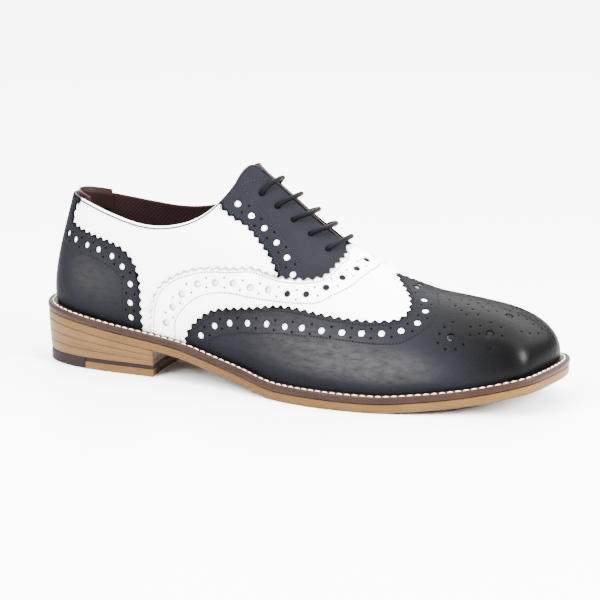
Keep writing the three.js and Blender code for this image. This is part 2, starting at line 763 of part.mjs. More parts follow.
add('upper', upperLayer(overlayDepth, lining), finishes.white);
add('outsole', makeOutsole(), finishes.tan);
add('welt', makeWelt(), finishes.brown);
add('insole', makeInsole(), finishes.lining);
add('tongue', makeTongue(), finishes.navy);
add('wing_cap', makeWingCap(), finishes.navy);
add('vamp', makeVamp(), finishes.white);
add('facing_lateral', makeFacing(LATERAL), finishes.navy);
add('facing_medial', makeFacing(MEDIAL), finishes.navy);
add('counter', makeCounter(), finishes.navy);
add('heel_tab', makeHeelTab(), finishes.lining);
for (let k = 0; k < liftCount; k += 1) add(`heel_lift_${k + 1}`, makeLift(k), finishes.tan);
add('heel_rand', makeFrontLayer(randBottom, randTop), finishes.brown);
add('heel_tip_leather', makeFrontLayer(0, tipThickness), finishes.tan);
add('heel_tip_rubber', makeRearTip(), finishes.rubber);
eyelets.forEach((eyelet, k) => add(`lace_bar_${k + 1}`, makeLaceBar(eyelet), finishes.cord));

// The origin is on the ground under the middle of the shoe
const box = new THREE.Box3().setFromObject(shoe);
shoe.position.set(-(box.min.x + box.max.x) / 2, -(box.min.y + box.max.y) / 2, -box.min.z);

export default shoe;
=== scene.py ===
"""A two-tone wingtip brogue for the right foot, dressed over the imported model.

Sizes are in millimetres until a mesh is made. x runs from heel to toe, -y is the outer side of the
foot and z is up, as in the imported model.
"""

import logging
import math
from dataclasses import dataclass, field
from enum import Enum
from typing import Callable, Optional, Sequence

import bpy
import numpy as np
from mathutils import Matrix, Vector
from mathutils.geometry import delaunay_2d_cdt


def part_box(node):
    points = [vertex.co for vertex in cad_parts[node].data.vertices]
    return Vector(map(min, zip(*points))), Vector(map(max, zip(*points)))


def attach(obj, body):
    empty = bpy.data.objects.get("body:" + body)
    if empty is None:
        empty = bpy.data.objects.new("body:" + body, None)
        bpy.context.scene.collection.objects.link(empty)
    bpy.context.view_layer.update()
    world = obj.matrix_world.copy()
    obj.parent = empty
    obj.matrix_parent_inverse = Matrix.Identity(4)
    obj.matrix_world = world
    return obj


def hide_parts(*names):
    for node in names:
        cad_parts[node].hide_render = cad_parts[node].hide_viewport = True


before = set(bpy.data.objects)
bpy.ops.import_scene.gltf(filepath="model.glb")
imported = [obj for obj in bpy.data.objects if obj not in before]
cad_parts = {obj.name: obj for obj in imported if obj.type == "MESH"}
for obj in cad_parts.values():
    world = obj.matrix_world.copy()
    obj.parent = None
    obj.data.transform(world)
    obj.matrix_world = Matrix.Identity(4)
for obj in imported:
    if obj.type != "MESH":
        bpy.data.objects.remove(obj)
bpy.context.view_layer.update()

MM = 0.001
TOE = 17.0
ROUND = 2 * TOE
LAP = 4
FOOT = -0.012
BODY = "root"
log = logging.getLogger("brogue")

# The sole's plan at stations 0 to 17, and its underside: shares of the sizes in Sole
EDGE_ROWS = {
    "lateral_x": (0, 0.012, 0.045, 0.099, 0.169, 0.252, 0.339, 0.416, 0.473, 0.523, 0.586, 0.66,
                  0.736, 0.816, 0.887, 0.958, 0.986, 1),
    "medial_x": (0, 0.012, 0.045, 0.099, 0.169, 0.252, 0.336, 0.406, 0.463, 0.513, 0.573, 0.643,
                 0.716, 0.801, 0.872, 0.945, 0.983, 1),
    "lateral": (0, 0.215, 0.367, 0.463, 0.501, 0.512, 0.56, 0.61, 0.458, 0.505, 0.548, 0.561,
                0.532, 0.471, 0.404, 0.325, 0.215, 0),
    "medial": (0, 0.21, 0.364, 0.464, 0.499, 0.464, 0.44, 0.457, 0.333, 0.371, 0.415, 0.451,
               0.465, 0.434, 0.38, 0.318, 0.195, 0),
    "swing": (0, 0, 0, 0, 0, 0, 0, 0, 0, 0, 0, 0, 0, 0.1, 0.25, 0.45, 0.75, 1),
}
UNDERSIDE_ROWS = {
    "x": (0, 0.069, 0.169, 0.252, 0.329, 0.396, 0.463, 0.519, 0.569, 0.643, 0.72, 0.79, 0.87,
          0.937, 1),
    "z": (1, 0.914, 0.753, 0.626, 0.49, 0.29, 0.133, 0.012, 0, 0, 0, 0.12, 0.335, 0.62, 0.94),
}
# The upper's ribs and its opening by station: shares of the sizes in Last
RIB_ROWS = {
    "station": (0, 1, 2, 3, 4, 5, 6, 7, 8, 8.5, 9, 10, 11, 12, 13, 14, 15, 16, 17),
    "x": (0.046, 0.056, 0.084, 0.126, 0.182, 0.252, 0.326, 0.378, 0.406, 0.417, 0.431, 0.499,
          0.583, 0.65, 0.723, 0.79, 0.836, 0.863, 0.877),
    "centre": (0, 0, 0, -0.02, -0.07, -0.18, -0.28, -0.26, -0.12, -0.04, 0, 0, 0, 0.07, 0.31,
               0.55, 0.75, 0.9, 0.95),
    "rise": (1, 0.998, 0.993, 0.98, 0.965, 0.99, 1.127, 0.822, 0.951, 1, 0.986, 0.87, 0.699,
             0.589, 0.47, 1.224, 1.122, 1.049, 1),
    "foot_out": (0.05, 0.053, 0.06, 0.068, 0.069, 0.05, 0.022, 0.006, -0.005, -0.007, -0.009,
                 -0.005, 0.006, 0.019, 0.03, 0.038, 0.045, 0.046, 0.049),
    "foot_up": (0.266, 0.266, 0.266, 0.27, 0.293, 0.301, 0.29, 0.267, 0.239, 0.222, 0.227, 0.243,
                0.249, 0.236, 0.252, 0.262, 0.287, 0.325, 0.345),
    "top_out": (0.07, 0.076, 0.087, 0.105, 0.112, 0.117, 0.138, 0.145, 0.143, 0.137, 0.14, 0.175,
                0.249, 0.335, 0.445, 0.489, 0.451, 0.279, 0),
    "top_along": (0, 0, 0, 0, 0, 0, 0, 0, 0, 0, 0, 0, 0, 0, 0, 0.087, 0.267, 0.465, 0.566),
    "top_up": (-0.299, -0.299, -0.299, -0.321, -0.344, -0.351, -0.334, -0.29, -0.21, -0.168,
               -0.131, -0.088, -0.057, -0.025, 0, 0, 0, 0, 0),
    "dip": (0, 0, 0, 0, 0.05, 0.6, 1, 0.62, 0.1, 0, 0, 0, 0, 0, 0, 0, 0, 0, 0),
}
OPENING_ROWS = {
    "station": (0, 1, 2, 3, 4, 5, 6, 7, 8, 8.5, 9, 10, 11, 11.25),
    "half": (0, 0.148, 0.257, 0.361, 0.457, 0.5, 0.457, 0.347, 0.194, 0.097, 0.5, 0.44, 0.27, 0),
}


def lerp(low: np.ndarray, high: np.ndarray, share: np.ndarray) -> np.ndarray:
    """Value a share of the way from low to high."""
    return low + (high - low) * share


def ramp(value: np.ndarray, start: float, end: float) -> np.ndarray:
    """Share from 0 at start to 1 at end, held there outside."""
    return np.clip((value - start) / (end - start), 0.0, 1.0)


def smooth(value: np.ndarray, start: float, end: float) -> np.ndarray:
    """The same share with soft ends: three squares less two cubes."""
    share = ramp(value, start, end)
    return share * share * (3.0 - 2.0 * share)


def unit(vectors: np.ndarray) -> np.ndarray:
    """Vectors along the last axis at length one."""
    length = np.linalg.norm(vectors, axis=-1, keepdims=True)
    return vectors / np.maximum(length, 1e-12)


def square_to(vectors: np.ndarray, axis: np.ndarray) -> np.ndarray:
    """Vectors less their part along unit vectors."""
    return vectors - axis * np.sum(vectors * axis, axis=-1, keepdims=True)


def on_side(station: np.ndarray, side: int) -> np.ndarray:
    """Places round the shoe of stations on the outer side, -1, or the inner one, 1."""
    return station if side < 0 else ROUND - station


def round_angles(sides: int) -> np.ndarray:
    """Angles of the corners of a ring."""
    return np.arange(sides) * 2 * math.pi / sides


def circles(first: np.ndarray, second: np.ndarray, sides: int, radius: float) -> np.ndarray:
    """Offsets round circles, each in the plane of two unit vectors.

    Args:
        first: the vectors towards each circle's first corner.
        second: the vectors square to them, towards which the corners turn.
        sides: corners of a circle.
        radius: of all the circles.

    Returns:
        Offsets, by circle and then round it.
    """
    turn = round_angles(sides)[:, None]
    return radius * (first[:, None] * np.cos(turn) + second[:, None] * np.sin(turn))


class CubicCurve:
    """Natural cubic spline through rows of values, one knot for each row."""

    def __init__(self, knots: Sequence[float], rows: np.ndarray) -> None:
        """Solves the three-band system that the second derivatives at the knots obey.

        Args:
            knots: rising parameters, one for each row.
            rows: values at the knots, one row each.
        """
        self.knots = np.asarray(knots, dtype=float)
        self.rows = np.asarray(rows, dtype=float).reshape(len(self.knots), -1)
        step = np.diff(self.knots)
        inner = np.arange(1, len(self.knots) - 1)
        bands = np.eye(len(self.knots))
        bands[inner, inner - 1] = step[:-1]
        bands[inner, inner] = 2 * (step[:-1] + step[1:])
        bands[inner, inner + 1] = step[1:]
        right = np.zeros_like(self.rows)
        right[1:-1] = 6 * np.diff(np.diff(self.rows, axis=0) / step[:, None], axis=0)
        self.bend = np.linalg.solve(bands, right)

    def __call__(self, at: np.ndarray) -> np.ndarray:
        """Values at parameters: the cubic whose second derivative runs straight between knots.

        Args:
            at: parameters of any shape.

        Returns:
            Values, with one more axis than at.
        """
        at = np.asarray(at, dtype=float)
        low = np.clip(np.searchsorted(self.knots, at, side="right") - 1, 0, len(self.knots) - 2)
        step = (self.knots[low + 1] - self.knots[low])[..., None]
        ahead = (self.knots[low + 1] - at)[..., None]
        behind = (at - self.knots[low])[..., None]
        cubic = (self.bend[low] * ahead**3 + self.bend[low + 1] * behind**3) / (6 * step)
        start = (self.rows[low] / step - self.bend[low] * step / 6) * ahead
        end = (self.rows[low + 1] / step - self.bend[low + 1] * step / 6) * behind
        return cubic + start + end


@dataclass
class Sole:
    """Plan and side curves of the sole, from a few driving sizes."""

    length: float = 298.4
    heel_width: float = 72.2
    waist_width: float = 69.6
    ball_width: float = 105.0
    toe_swing: float = 4.6
    heel_height: float = 24.3
    toe_spring: float = 14.7
    outsole: float = 4.6
    welt: float = 3.6
    fit: float = 0.3

    def __post_init__(self) -> None:
        """Makes the closed plan curve and the underside's curve."""
        widths = np.full(int(TOE) + 1, self.ball_width)
        widths[:6] = self.heel_width
        widths[6:8] = self.waist_width
        swing = np.array(EDGE_ROWS["swing"]) * self.toe_swing
        lateral = np.stack([np.array(EDGE_ROWS["lateral_x"]) * self.length,
                            swing - np.array(EDGE_ROWS["lateral"]) * widths], axis=1)
        medial = np.stack([np.array(EDGE_ROWS["medial_x"]) * self.length,
                           swing + np.array(EDGE_ROWS["medial"]) * widths], axis=1)
        loop = np.vstack([lateral, medial[-2:0:-1]])
        rows = np.vstack([loop[-LAP:], loop, loop[:LAP + 1]])
        self.plan = CubicCurve(np.arange(len(rows)) - LAP, rows)
        heights = np.full(len(UNDERSIDE_ROWS["x"]), self.heel_height)
        heights[10:] = self.toe_spring
        self.side = CubicCurve(np.array(UNDERSIDE_ROWS["x"]) * self.length,
                               np.array(UNDERSIDE_ROWS["z"]) * heights)

    def edge(self, around: np.ndarray, inset: np.ndarray) -> tuple[np.ndarray, np.ndarray]:
        """Plan points on the sole's edge, moved inwards.

        Args:
            around: place round the edge, 0 at the heel back, 17 at the toe, 34 at the heel again.
            inset: distance inwards, square to the edge.

        Returns:
            The points and the unit vectors outwards, two values each.
        """
        around = np.mod(np.asarray(around, dtype=float), ROUND)
        step = 0.001
        along = unit(self.plan(around + step) - self.plan(around - step))
        outward = np.stack([along[..., 1], -along[..., 0]], axis=-1)
        return self.plan(around) - outward * np.asarray(inset)[..., None], outward

    def underside(self, x: np.ndarray) -> np.ndarray:
        """Height of the tread over the ground."""
        return np.maximum(0.0, self.side(x)[..., 0])

    def welt_bottom(self, x: np.ndarray) -> np.ndarray:
        """Height of the welt's lower face."""
        return self.underside(x) + self.outsole + self.fit

    def welt_top(self, x: np.ndarray) -> np.ndarray:
        """Height of the welt's upper face."""
        return self.welt_bottom(x) + self.welt


@dataclass
class Last:
    """The upper's face: one cubic rib at each place round the shoe, from the welt to the top."""

    sole: Sole
    heel_margin: float = 4.7
    fore_margin: float = 5.9
    collar_rise: float = 60.6
    collar_width: float = 57.6
    collar_dip: float = 3.0
    facing_rise: float = 100.3
    toe_rise: float = 34.0
    throat_gap: float = 5.2
    throat_end: float = 11.25

    def __post_init__(self) -> None:
        """Makes the curves of the ribs and of the opening."""
        station = np.array(RIB_ROWS["station"])
        rise = np.full(len(station), self.facing_rise)
        rise[:7] = self.collar_rise
        rise[15:] = self.toe_rise
        columns = [np.array(RIB_ROWS["x"]) * self.sole.length,
                   np.array(RIB_ROWS["centre"]) * self.sole.toe_swing,
                   np.array(RIB_ROWS["rise"]) * rise]
        columns += [np.array(RIB_ROWS[name])
                    for name in ("foot_out", "foot_up", "top_out", "top_along", "top_up", "dip")]
        rows = np.stack(columns, axis=1)
        knots = np.concatenate([-station[LAP:0:-1], station, 2 * TOE - station[-2:-LAP - 2:-1]])
        mirrored = np.vstack([rows[LAP:0:-1], rows, rows[-2:-LAP - 2:-1]])
        self.ribs = CubicCurve(knots, mirrored)
        half = np.array(OPENING_ROWS["half"])
        half[:10] *= self.collar_width
        half[10:] *= self.throat_gap
        self.opening = CubicCurve(OPENING_ROWS["station"], half)

    def ridge_slope(self, station: np.ndarray) -> np.ndarray:
        """Rise of the ridge for each millimetre forward."""
        step = 0.02
        ahead = np.minimum(station + step, TOE)
        front = self.ribs(ahead)
        back = self.ribs(ahead - 2 * step)
        rise = self.sole.welt_top(front[..., 0]) + front[..., 2]
        fall = self.sole.welt_top(back[..., 0]) + back[..., 2]
        return (rise - fall) / (front[..., 0] - back[..., 0])

    def face(self, around: np.ndarray, height: np.ndarray) -> np.ndarray:
        """Points of the face: a cubic with four poles, whose handles are shares of the rib's chord.

        Args:
            around: place round the shoe, 0 to 34.
            height: share of the rib, 0 at the welt and 1 at the collar or ridge.

        Returns:
            Points, three values each.
        """
        around, height = np.broadcast_arrays(np.mod(around, ROUND), height)
        station = TOE - np.abs(around - TOE)
        side = np.where(around < TOE, -1.0, 1.0)
        margin = lerp(self.heel_margin, self.fore_margin, ramp(station, 6, 11))
        foot, out = self.sole.edge(around, margin)
        rib = np.moveaxis(self.ribs(station), -1, 0)
        x, centre, rise, foot_out, foot_up, top_out, top_along, top_up, dip = rib
        rise = rise - self.collar_dip * dip * (side < 0)
        half = np.where(station < self.throat_end, self.opening(station)[..., 0], 0.0)
        level = self.sole.welt_top(foot[..., 0]) + self.sole.fit
        start = np.stack([foot[..., 0], foot[..., 1], level], axis=-1)
        end = np.stack([x, centre + side * half, self.sole.welt_top(x) + rise], axis=-1)
        chord = np.linalg.norm(end - start, axis=-1)
        nil = np.zeros_like(x)
        outward = np.stack([out[..., 0], out[..., 1], nil], axis=-1)
        across = np.stack([nil, side, nil], axis=-1)
        up = np.array([0.0, 0.0, 1.0])
        top_way = lerp(outward, across, ramp(station, 9, 10.5)[..., None])
        slope = self.ridge_slope(station) * ramp(station, 12, 14)
        along = np.stack([nil + 1.0, nil, slope], axis=-1)
        first = start + outward * (foot_out * chord)[..., None] + up * (foot_up * chord)[..., None]
        second = (end + top_way * (top_out * chord)[..., None]
                  + along * (top_along * chord)[..., None] + up * (top_up * chord)[..., None])
        t = height[..., None]
        s = 1.0 - t
        return start * s**3 + first * 3 * s * s * t + second * 3 * s * t * t + end * t**3

    def slopes(self, around: np.ndarray, height: np.ndarray) -> tuple[np.ndarray, np.ndarray]:
        """Changes of the face for one station and for one rib's height, by central differences."""
        step = 0.01
        along = (self.face(around + step, height) - self.face(around - step, height)) / (2 * step)
        up = (self.face(around, height + step) - self.face(around, height - step)) / (2 * step)
        return along, up

    def inward(self, around: np.ndarray, height: np.ndarray) -> np.ndarray:
        """Unit vectors into the shoe: the rise crossed with the run round it. On the ridge both sides
        are averaged, so that they share it."""
        around, height = np.broadcast_arrays(np.mod(around, ROUND), height)
        station = TOE - np.abs(around - TOE)
        ridge = station >= self.throat_end
        level = np.where(ridge, np.minimum(height, 0.985), height)
        along, up = self.slopes(around, level)
        way = unit(np.cross(up, along))
        along, up = self.slopes(ROUND - around, level)
        other = unit(np.cross(up, along))
        share = 0.5 * (ridge * smooth(height, 0.97, 1.0))[..., None]
        return unit(lerp(way, other, share))

    def point(self, around: np.ndarray, height: np.ndarray, depth: np.ndarray) -> np.ndarray:
        """Points under the face by a depth, square to it."""
        depth = np.asarray(depth, dtype=float)[..., None]
        return self.face(around, height) + self.inward(around, height) * depth

    def rib_length(self, around: np.ndarray) -> np.ndarray:
        """Length of the ribs, as the sum of short chords."""
        levels = np.linspace(0, 1, 9)
        path = self.face(np.asarray(around, dtype=float)[..., None], levels)
        return np.linalg.norm(np.diff(path, axis=-2), axis=-1).sum(axis=-1)

    def flat(self, spots: np.ndarray) -> np.ndarray:
        """Spots laid out flat: each rib is unrolled from its top, straight towards its foot.

        Args:
            spots: stations and heights, two values each.

        Returns:
            Plane points in millimetres, two values each.
        """
        around, height = spots[..., 0], spots[..., 1]
        top = self.face(around, np.ones_like(around))[..., :2]
        foot = self.face(around, np.zeros_like(around))[..., :2]
        reach = (self.rib_length(around) * (1.0 - height))[..., None]
        return top + unit(foot - top) * reach

    def slide(self, spots: np.ndarray, move: np.ndarray) -> np.ndarray:
        """Spots moved over the face, solving the two slopes for the move's share in each.

        Args:
            spots: stations and heights.
            move: vectors along the face, in millimetres.

        Returns:
            The new stations and heights.
        """
        along, up = self.slopes(spots[..., 0], spots[..., 1])
        aa, ab, bb = (np.sum(p * q, axis=-1) for p, q in ((along, along), (along, up), (up, up)))
        am, bm = np.sum(along * move, axis=-1), np.sum(up * move, axis=-1)
        area = aa * bb - ab * ab
        return spots + np.stack([(bb * am - ab * bm) / area, (aa * bm - ab * am) / area], axis=-1)


class Line:
    """A line over the last's outer side, through a few rows of station and height."""

    def __init__(self, last: Last, rows: Sequence[tuple[float, float]], samples: int = 300) -> None:
        """Runs a spline through the rows and measures it on the face.

        Args:
            last: the face that the line lies on.
            rows: station and height pairs.
            samples: points that the line is measured with.
        """
        self.last = last
        curve = CubicCurve(np.linspace(0, 1, len(rows)), rows)
        self.spots = curve(np.linspace(0, 1, samples))
        points = last.face(self.spots[:, 0], self.spots[:, 1])
        steps = np.linalg.norm(np.diff(points, axis=0), axis=1)
        self.run = np.concatenate([[0.0], np.cumsum(steps)])

    @property
    def length(self) -> float:
        """Length over the face in millimetres."""
        return float(self.run[-1])

    def at(self, distance: np.ndarray) -> np.ndarray:
        """Spots at distances from the start."""
        return np.stack([np.interp(distance, self.run, self.spots[:, 0]),
                         np.interp(distance, self.run, self.spots[:, 1])], axis=-1)

    def axes(self, distance: np.ndarray) -> tuple[np.ndarray, np.ndarray, np.ndarray]:
        """Unit vectors along the line, across it and into the shoe, at distances."""
        step = 0.6
        before, after = self.at(distance - step), self.at(distance + step)
        along = unit(self.last.face(after[:, 0], after[:, 1])
                     - self.last.face(before[:, 0], before[:, 1]))
        here = self.at(distance)
        inward = self.last.inward(here[:, 0], here[:, 1])
        across = unit(np.cross(along, inward))
        return unit(np.cross(inward, across)), across, inward

    def aside(self, distance: np.ndarray, offset: np.ndarray) -> np.ndarray:
        """Spots at distances along, moved across by offsets in millimetres."""
        across = self.axes(distance)[1]
        return self.last.slide(self.at(distance), across * np.asarray(offset)[..., None])

    def spaced(self, pitch: float, start: float = 0.0, end: float = 0.0) -> np.ndarray:
        """Even distances nearly a pitch apart, leaving lengths free at both ends."""
        count = max(int(round((self.length - start - end) / pitch)), 1)
        return np.linspace(start, self.length - end, count + 1)


def frame_shift(sole: Sole) -> np.ndarray:
    """Move from the tables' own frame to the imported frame, from the welt's corner in the frame."""
    around = np.arange(0, 2 * ROUND) / 2
    plan, _ = sole.edge(around, np.zeros_like(around))
    low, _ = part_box("welt")
    return np.array([low[0] / MM - plan[:, 0].min(), low[1] / MM - plan[:, 1].min(), 0.0])


SOLE = Sole()
LAST = Last(SOLE)
SHIFT = frame_shift(SOLE)


def grid_faces(columns: int, rows: int, closed: bool = False) -> np.ndarray:
    """Quads over a grid numbered column by column, going round if it is closed.

    Args:
        columns: number of columns.
        rows: points in each column.
        closed: whether the last column meets the first one.

    Returns:
        Four vertex numbers for each quad.
    """
    here = np.arange(columns if closed else columns - 1)[:, None]
    low = np.arange(rows - 1)[None, :]
    after = (here + 1) % columns
    quads = np.stack([here * rows + low, after * rows + low,
                      after * rows + low + 1, here * rows + low + 1], axis=-1)
    return quads.reshape(-1, 4)


def loop_faces(columns: int, rows: int) -> np.ndarray:
    """Quads over a grid that goes round both ways: along the columns and from last row to first."""
    here = np.arange(columns) * rows
    after = np.roll(here, -1)
    seam = np.stack([here + rows - 1, after + rows - 1, after, here], axis=1)
    return np.vstack([grid_faces(columns, rows, closed=True), seam])


def as_quads(triangles: np.ndarray) -> np.ndarray:
    """Triangles in the four columns that all faces have, with -1 in the last one."""
    return np.column_stack([triangles, np.full(len(triangles), -1)])


def tube_faces(rings: int, sides: int, flip: bool) -> np.ndarray:
    """Faces of a tube with flat ends.

    Args:
        rings: number of rings.
        sides: points in each ring.
        flip: whether the rings turn the other way round, which turns the faces over.

    Returns:
        Four vertex numbers for each face, -1 last for a triangle.
    """
    tube = grid_faces(rings, sides + 1)
    tube = tube // (sides + 1) * sides + tube % (sides + 1) % sides
    corner = np.arange(1, sides - 1)
    fan = np.stack([0 * corner, corner, corner + 1], axis=1)
    caps = np.vstack([fan, fan[:, ::-1] + (rings - 1) * sides])
    if flip:
        tube, caps = tube[:, ::-1], caps[:, ::-1]
    return np.vstack([tube, as_quads(caps)])


def weld(points: np.ndarray, faces: np.ndarray) -> tuple[np.ndarray, np.ndarray, np.ndarray]:
    """Joins points that coincide, drops faces that shrink to a line and pairs that face each other.

    Args:
        points: places, three values each.
        faces: four vertex numbers each, -1 last for a triangle.

    Returns:
        The kept points, the faces, and the first old number of each kept point.
    """
    _, first, back = np.unique(np.round(points * 500).astype(np.int64), axis=0,
                               return_index=True, return_inverse=True)
    back = back.reshape(-1)
    faces = np.where(faces < 0, -1, back[np.maximum(faces, 0)])
    quads = faces[faces[:, 3] >= 0]
    triangles = faces[faces[:, 3] < 0][:, :3]
    same = quads == np.roll(quads, -1, axis=1)
    crossed = (quads[:, 0] == quads[:, 2]) | (quads[:, 1] == quads[:, 3])
    whole = ~same.any(axis=1) & ~crossed
    pinched = (same.sum(axis=1) == 1) & ~crossed
    kept = ~same[pinched]
    shrunk = quads[pinched][kept].reshape(-1, 3)
    triangles = np.vstack([triangles, shrunk])
    real = ((triangles[:, 0] != triangles[:, 1]) & (triangles[:, 1] != triangles[:, 2])
            & (triangles[:, 2] != triangles[:, 0]))
    faces = np.vstack([quads[whole], as_quads(triangles[real])])
    _, place, count = np.unique(np.sort(faces, axis=1), axis=0, return_index=True,
                                return_counts=True)
    faces = faces[np.sort(place[count == 1])]
    used = np.unique(faces[faces >= 0])
    renumber = np.zeros(len(first), dtype=int)
    renumber[used] = np.arange(len(used))
    faces = np.where(faces < 0, -1, renumber[np.maximum(faces, 0)])
    return points[first[used]], faces, first[used]


def rim_edges(faces: np.ndarray) -> np.ndarray:
    """Edges that only one face has, in that face's direction."""
    quads = faces[faces[:, 3] >= 0]
    triangles = faces[faces[:, 3] < 0][:, :3]
    edges = np.vstack([np.stack([group, np.roll(group, -1, axis=1)], axis=-1).reshape(-1, 2)
                       for group in (quads, triangles)])
    _, place, count = np.unique(np.sort(edges, axis=1), axis=0, return_index=True,
                                return_counts=True)
    return edges[place[count == 1]]


def solid_faces(faces: np.ndarray, rim: np.ndarray, count: int) -> np.ndarray:
    """Faces of a solid between two layers of points that are numbered alike.

    Args:
        faces: the upper layer's faces.
        rim: its free edges.
        count: points in a layer.

    Returns:
        The upper faces, the lower ones turned over, and a wall round the free edges.
    """
    back = faces.copy()
    back[:, :3] = back[:, 2::-1]
    back = np.where(back < 0, -1, back + count)
    walls = np.stack([rim[:, 1], rim[:, 0], rim[:, 0] + count, rim[:, 1] + count], axis=1)
    return np.vstack([faces, back, walls])


@dataclass
class Shape:
    """Mesh data in millimetres: points, faces and values at the points."""

    points: np.ndarray
    faces: np.ndarray
    values: dict[str, np.ndarray] = field(default_factory=dict)

    def welded(self) -> "Shape":
        """The shape with coinciding points joined."""
        points, faces, first = weld(self.points, self.faces)
        return Shape(points, faces, {name: data[first] for name, data in self.values.items()})

    def make(self, name: str, finish: bpy.types.Material, slot: str, replaces: Sequence[str] = (),
             crease: float = 38.0) -> bpy.types.Object:
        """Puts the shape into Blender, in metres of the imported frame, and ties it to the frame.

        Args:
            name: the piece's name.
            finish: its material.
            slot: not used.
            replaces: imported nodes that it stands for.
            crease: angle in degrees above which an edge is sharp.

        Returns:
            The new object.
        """
        mesh = bpy.data.meshes.new(name)
        mesh.vertices.add(len(self.points))
        mesh.vertices.foreach_set("co", ((self.points + SHIFT) * MM).ravel())
        loops = self.faces.ravel()
        loops = loops[loops >= 0]
        sizes = np.where(self.faces[:, 3] < 0, 3, 4)
        mesh.loops.add(len(loops))
        mesh.loops.foreach_set("vertex_index", loops)
        mesh.polygons.add(len(self.faces))
        mesh.polygons.foreach_set("loop_start", np.concatenate([[0], np.cumsum(sizes)[:-1]]))
        mesh.update(calc_edges=True)
        mesh.polygons.foreach_set("use_smooth", np.ones(len(self.faces), dtype=bool))
        mesh.set_sharp_from_angle(angle=math.radians(crease))
        for title, data in self.values.items():
            layer = mesh.attributes.new(title, "FLOAT", "POINT")
            layer.data.foreach_set("value", np.asarray(data, dtype=np.float32))
        mesh.materials.append(finish)
        piece = bpy.data.objects.new(name, mesh)
        bpy.context.collection.objects.link(piece)
        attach(piece, BODY)
        if replaces:
            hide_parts(*replaces)
        log.info("%s: %d vertices, %d faces", name, len(self.points), len(self.faces))
        return piece


def inside(points: np.ndarray, outline: np.ndarray) -> np.ndarray:
    """Whether plane points lie within a closed outline, by the even-odd rule."""
    start, end = outline, np.roll(outline, -1, axis=0)
    x, y = points[:, 0:1], points[:, 1:2]
    crosses = (start[None, :, 1] > y) != (end[None, :, 1] > y)
    rise = np.where(end[:, 1] == start[:, 1], 1e-9, end[:, 1] - start[:, 1])
    reach = start[:, 0] + (y - start[:, 1]) * (end[:, 0] - start[:, 0]) / rise
    return (crosses & (x < reach)).sum(axis=1) % 2 == 1


def nearest(points: np.ndarray, others: np.ndarray) -> np.ndarray:
    """Distance from each plane point to the nearest of the others."""
    if len(others) == 0:
        return np.full(len(points), np.inf)
    parts = [np.sqrt(((part[:, None] - others[None]) ** 2).sum(axis=-1)).min(axis=1)
             for part in np.array_split(points, max(len(points) // 1500, 1))]
    return np.concatenate(parts)


@dataclass
class Punch:
    """Round holes of one size in a panel."""

    spots: np.ndarray
    radius: float
    sides: int = 12

    def rings(self, last: Last, radius: float) -> np.ndarray:
        """Circles of a radius round the spots, laid on the face.

        Args:
            last: the face.
            radius: their radius in millimetres.

        Returns:
            Spots, by hole and then round it.
        """
        along, up = last.slopes(self.spots[:, 0], self.spots[:, 1])
        along = unit(along)
        move = circles(along, unit(square_to(up, along)), self.sides, radius)
        spots = np.repeat(self.spots, self.sides, axis=0)
        return last.slide(spots, move.reshape(-1, 3)).reshape(len(self.spots), self.sides, 2)


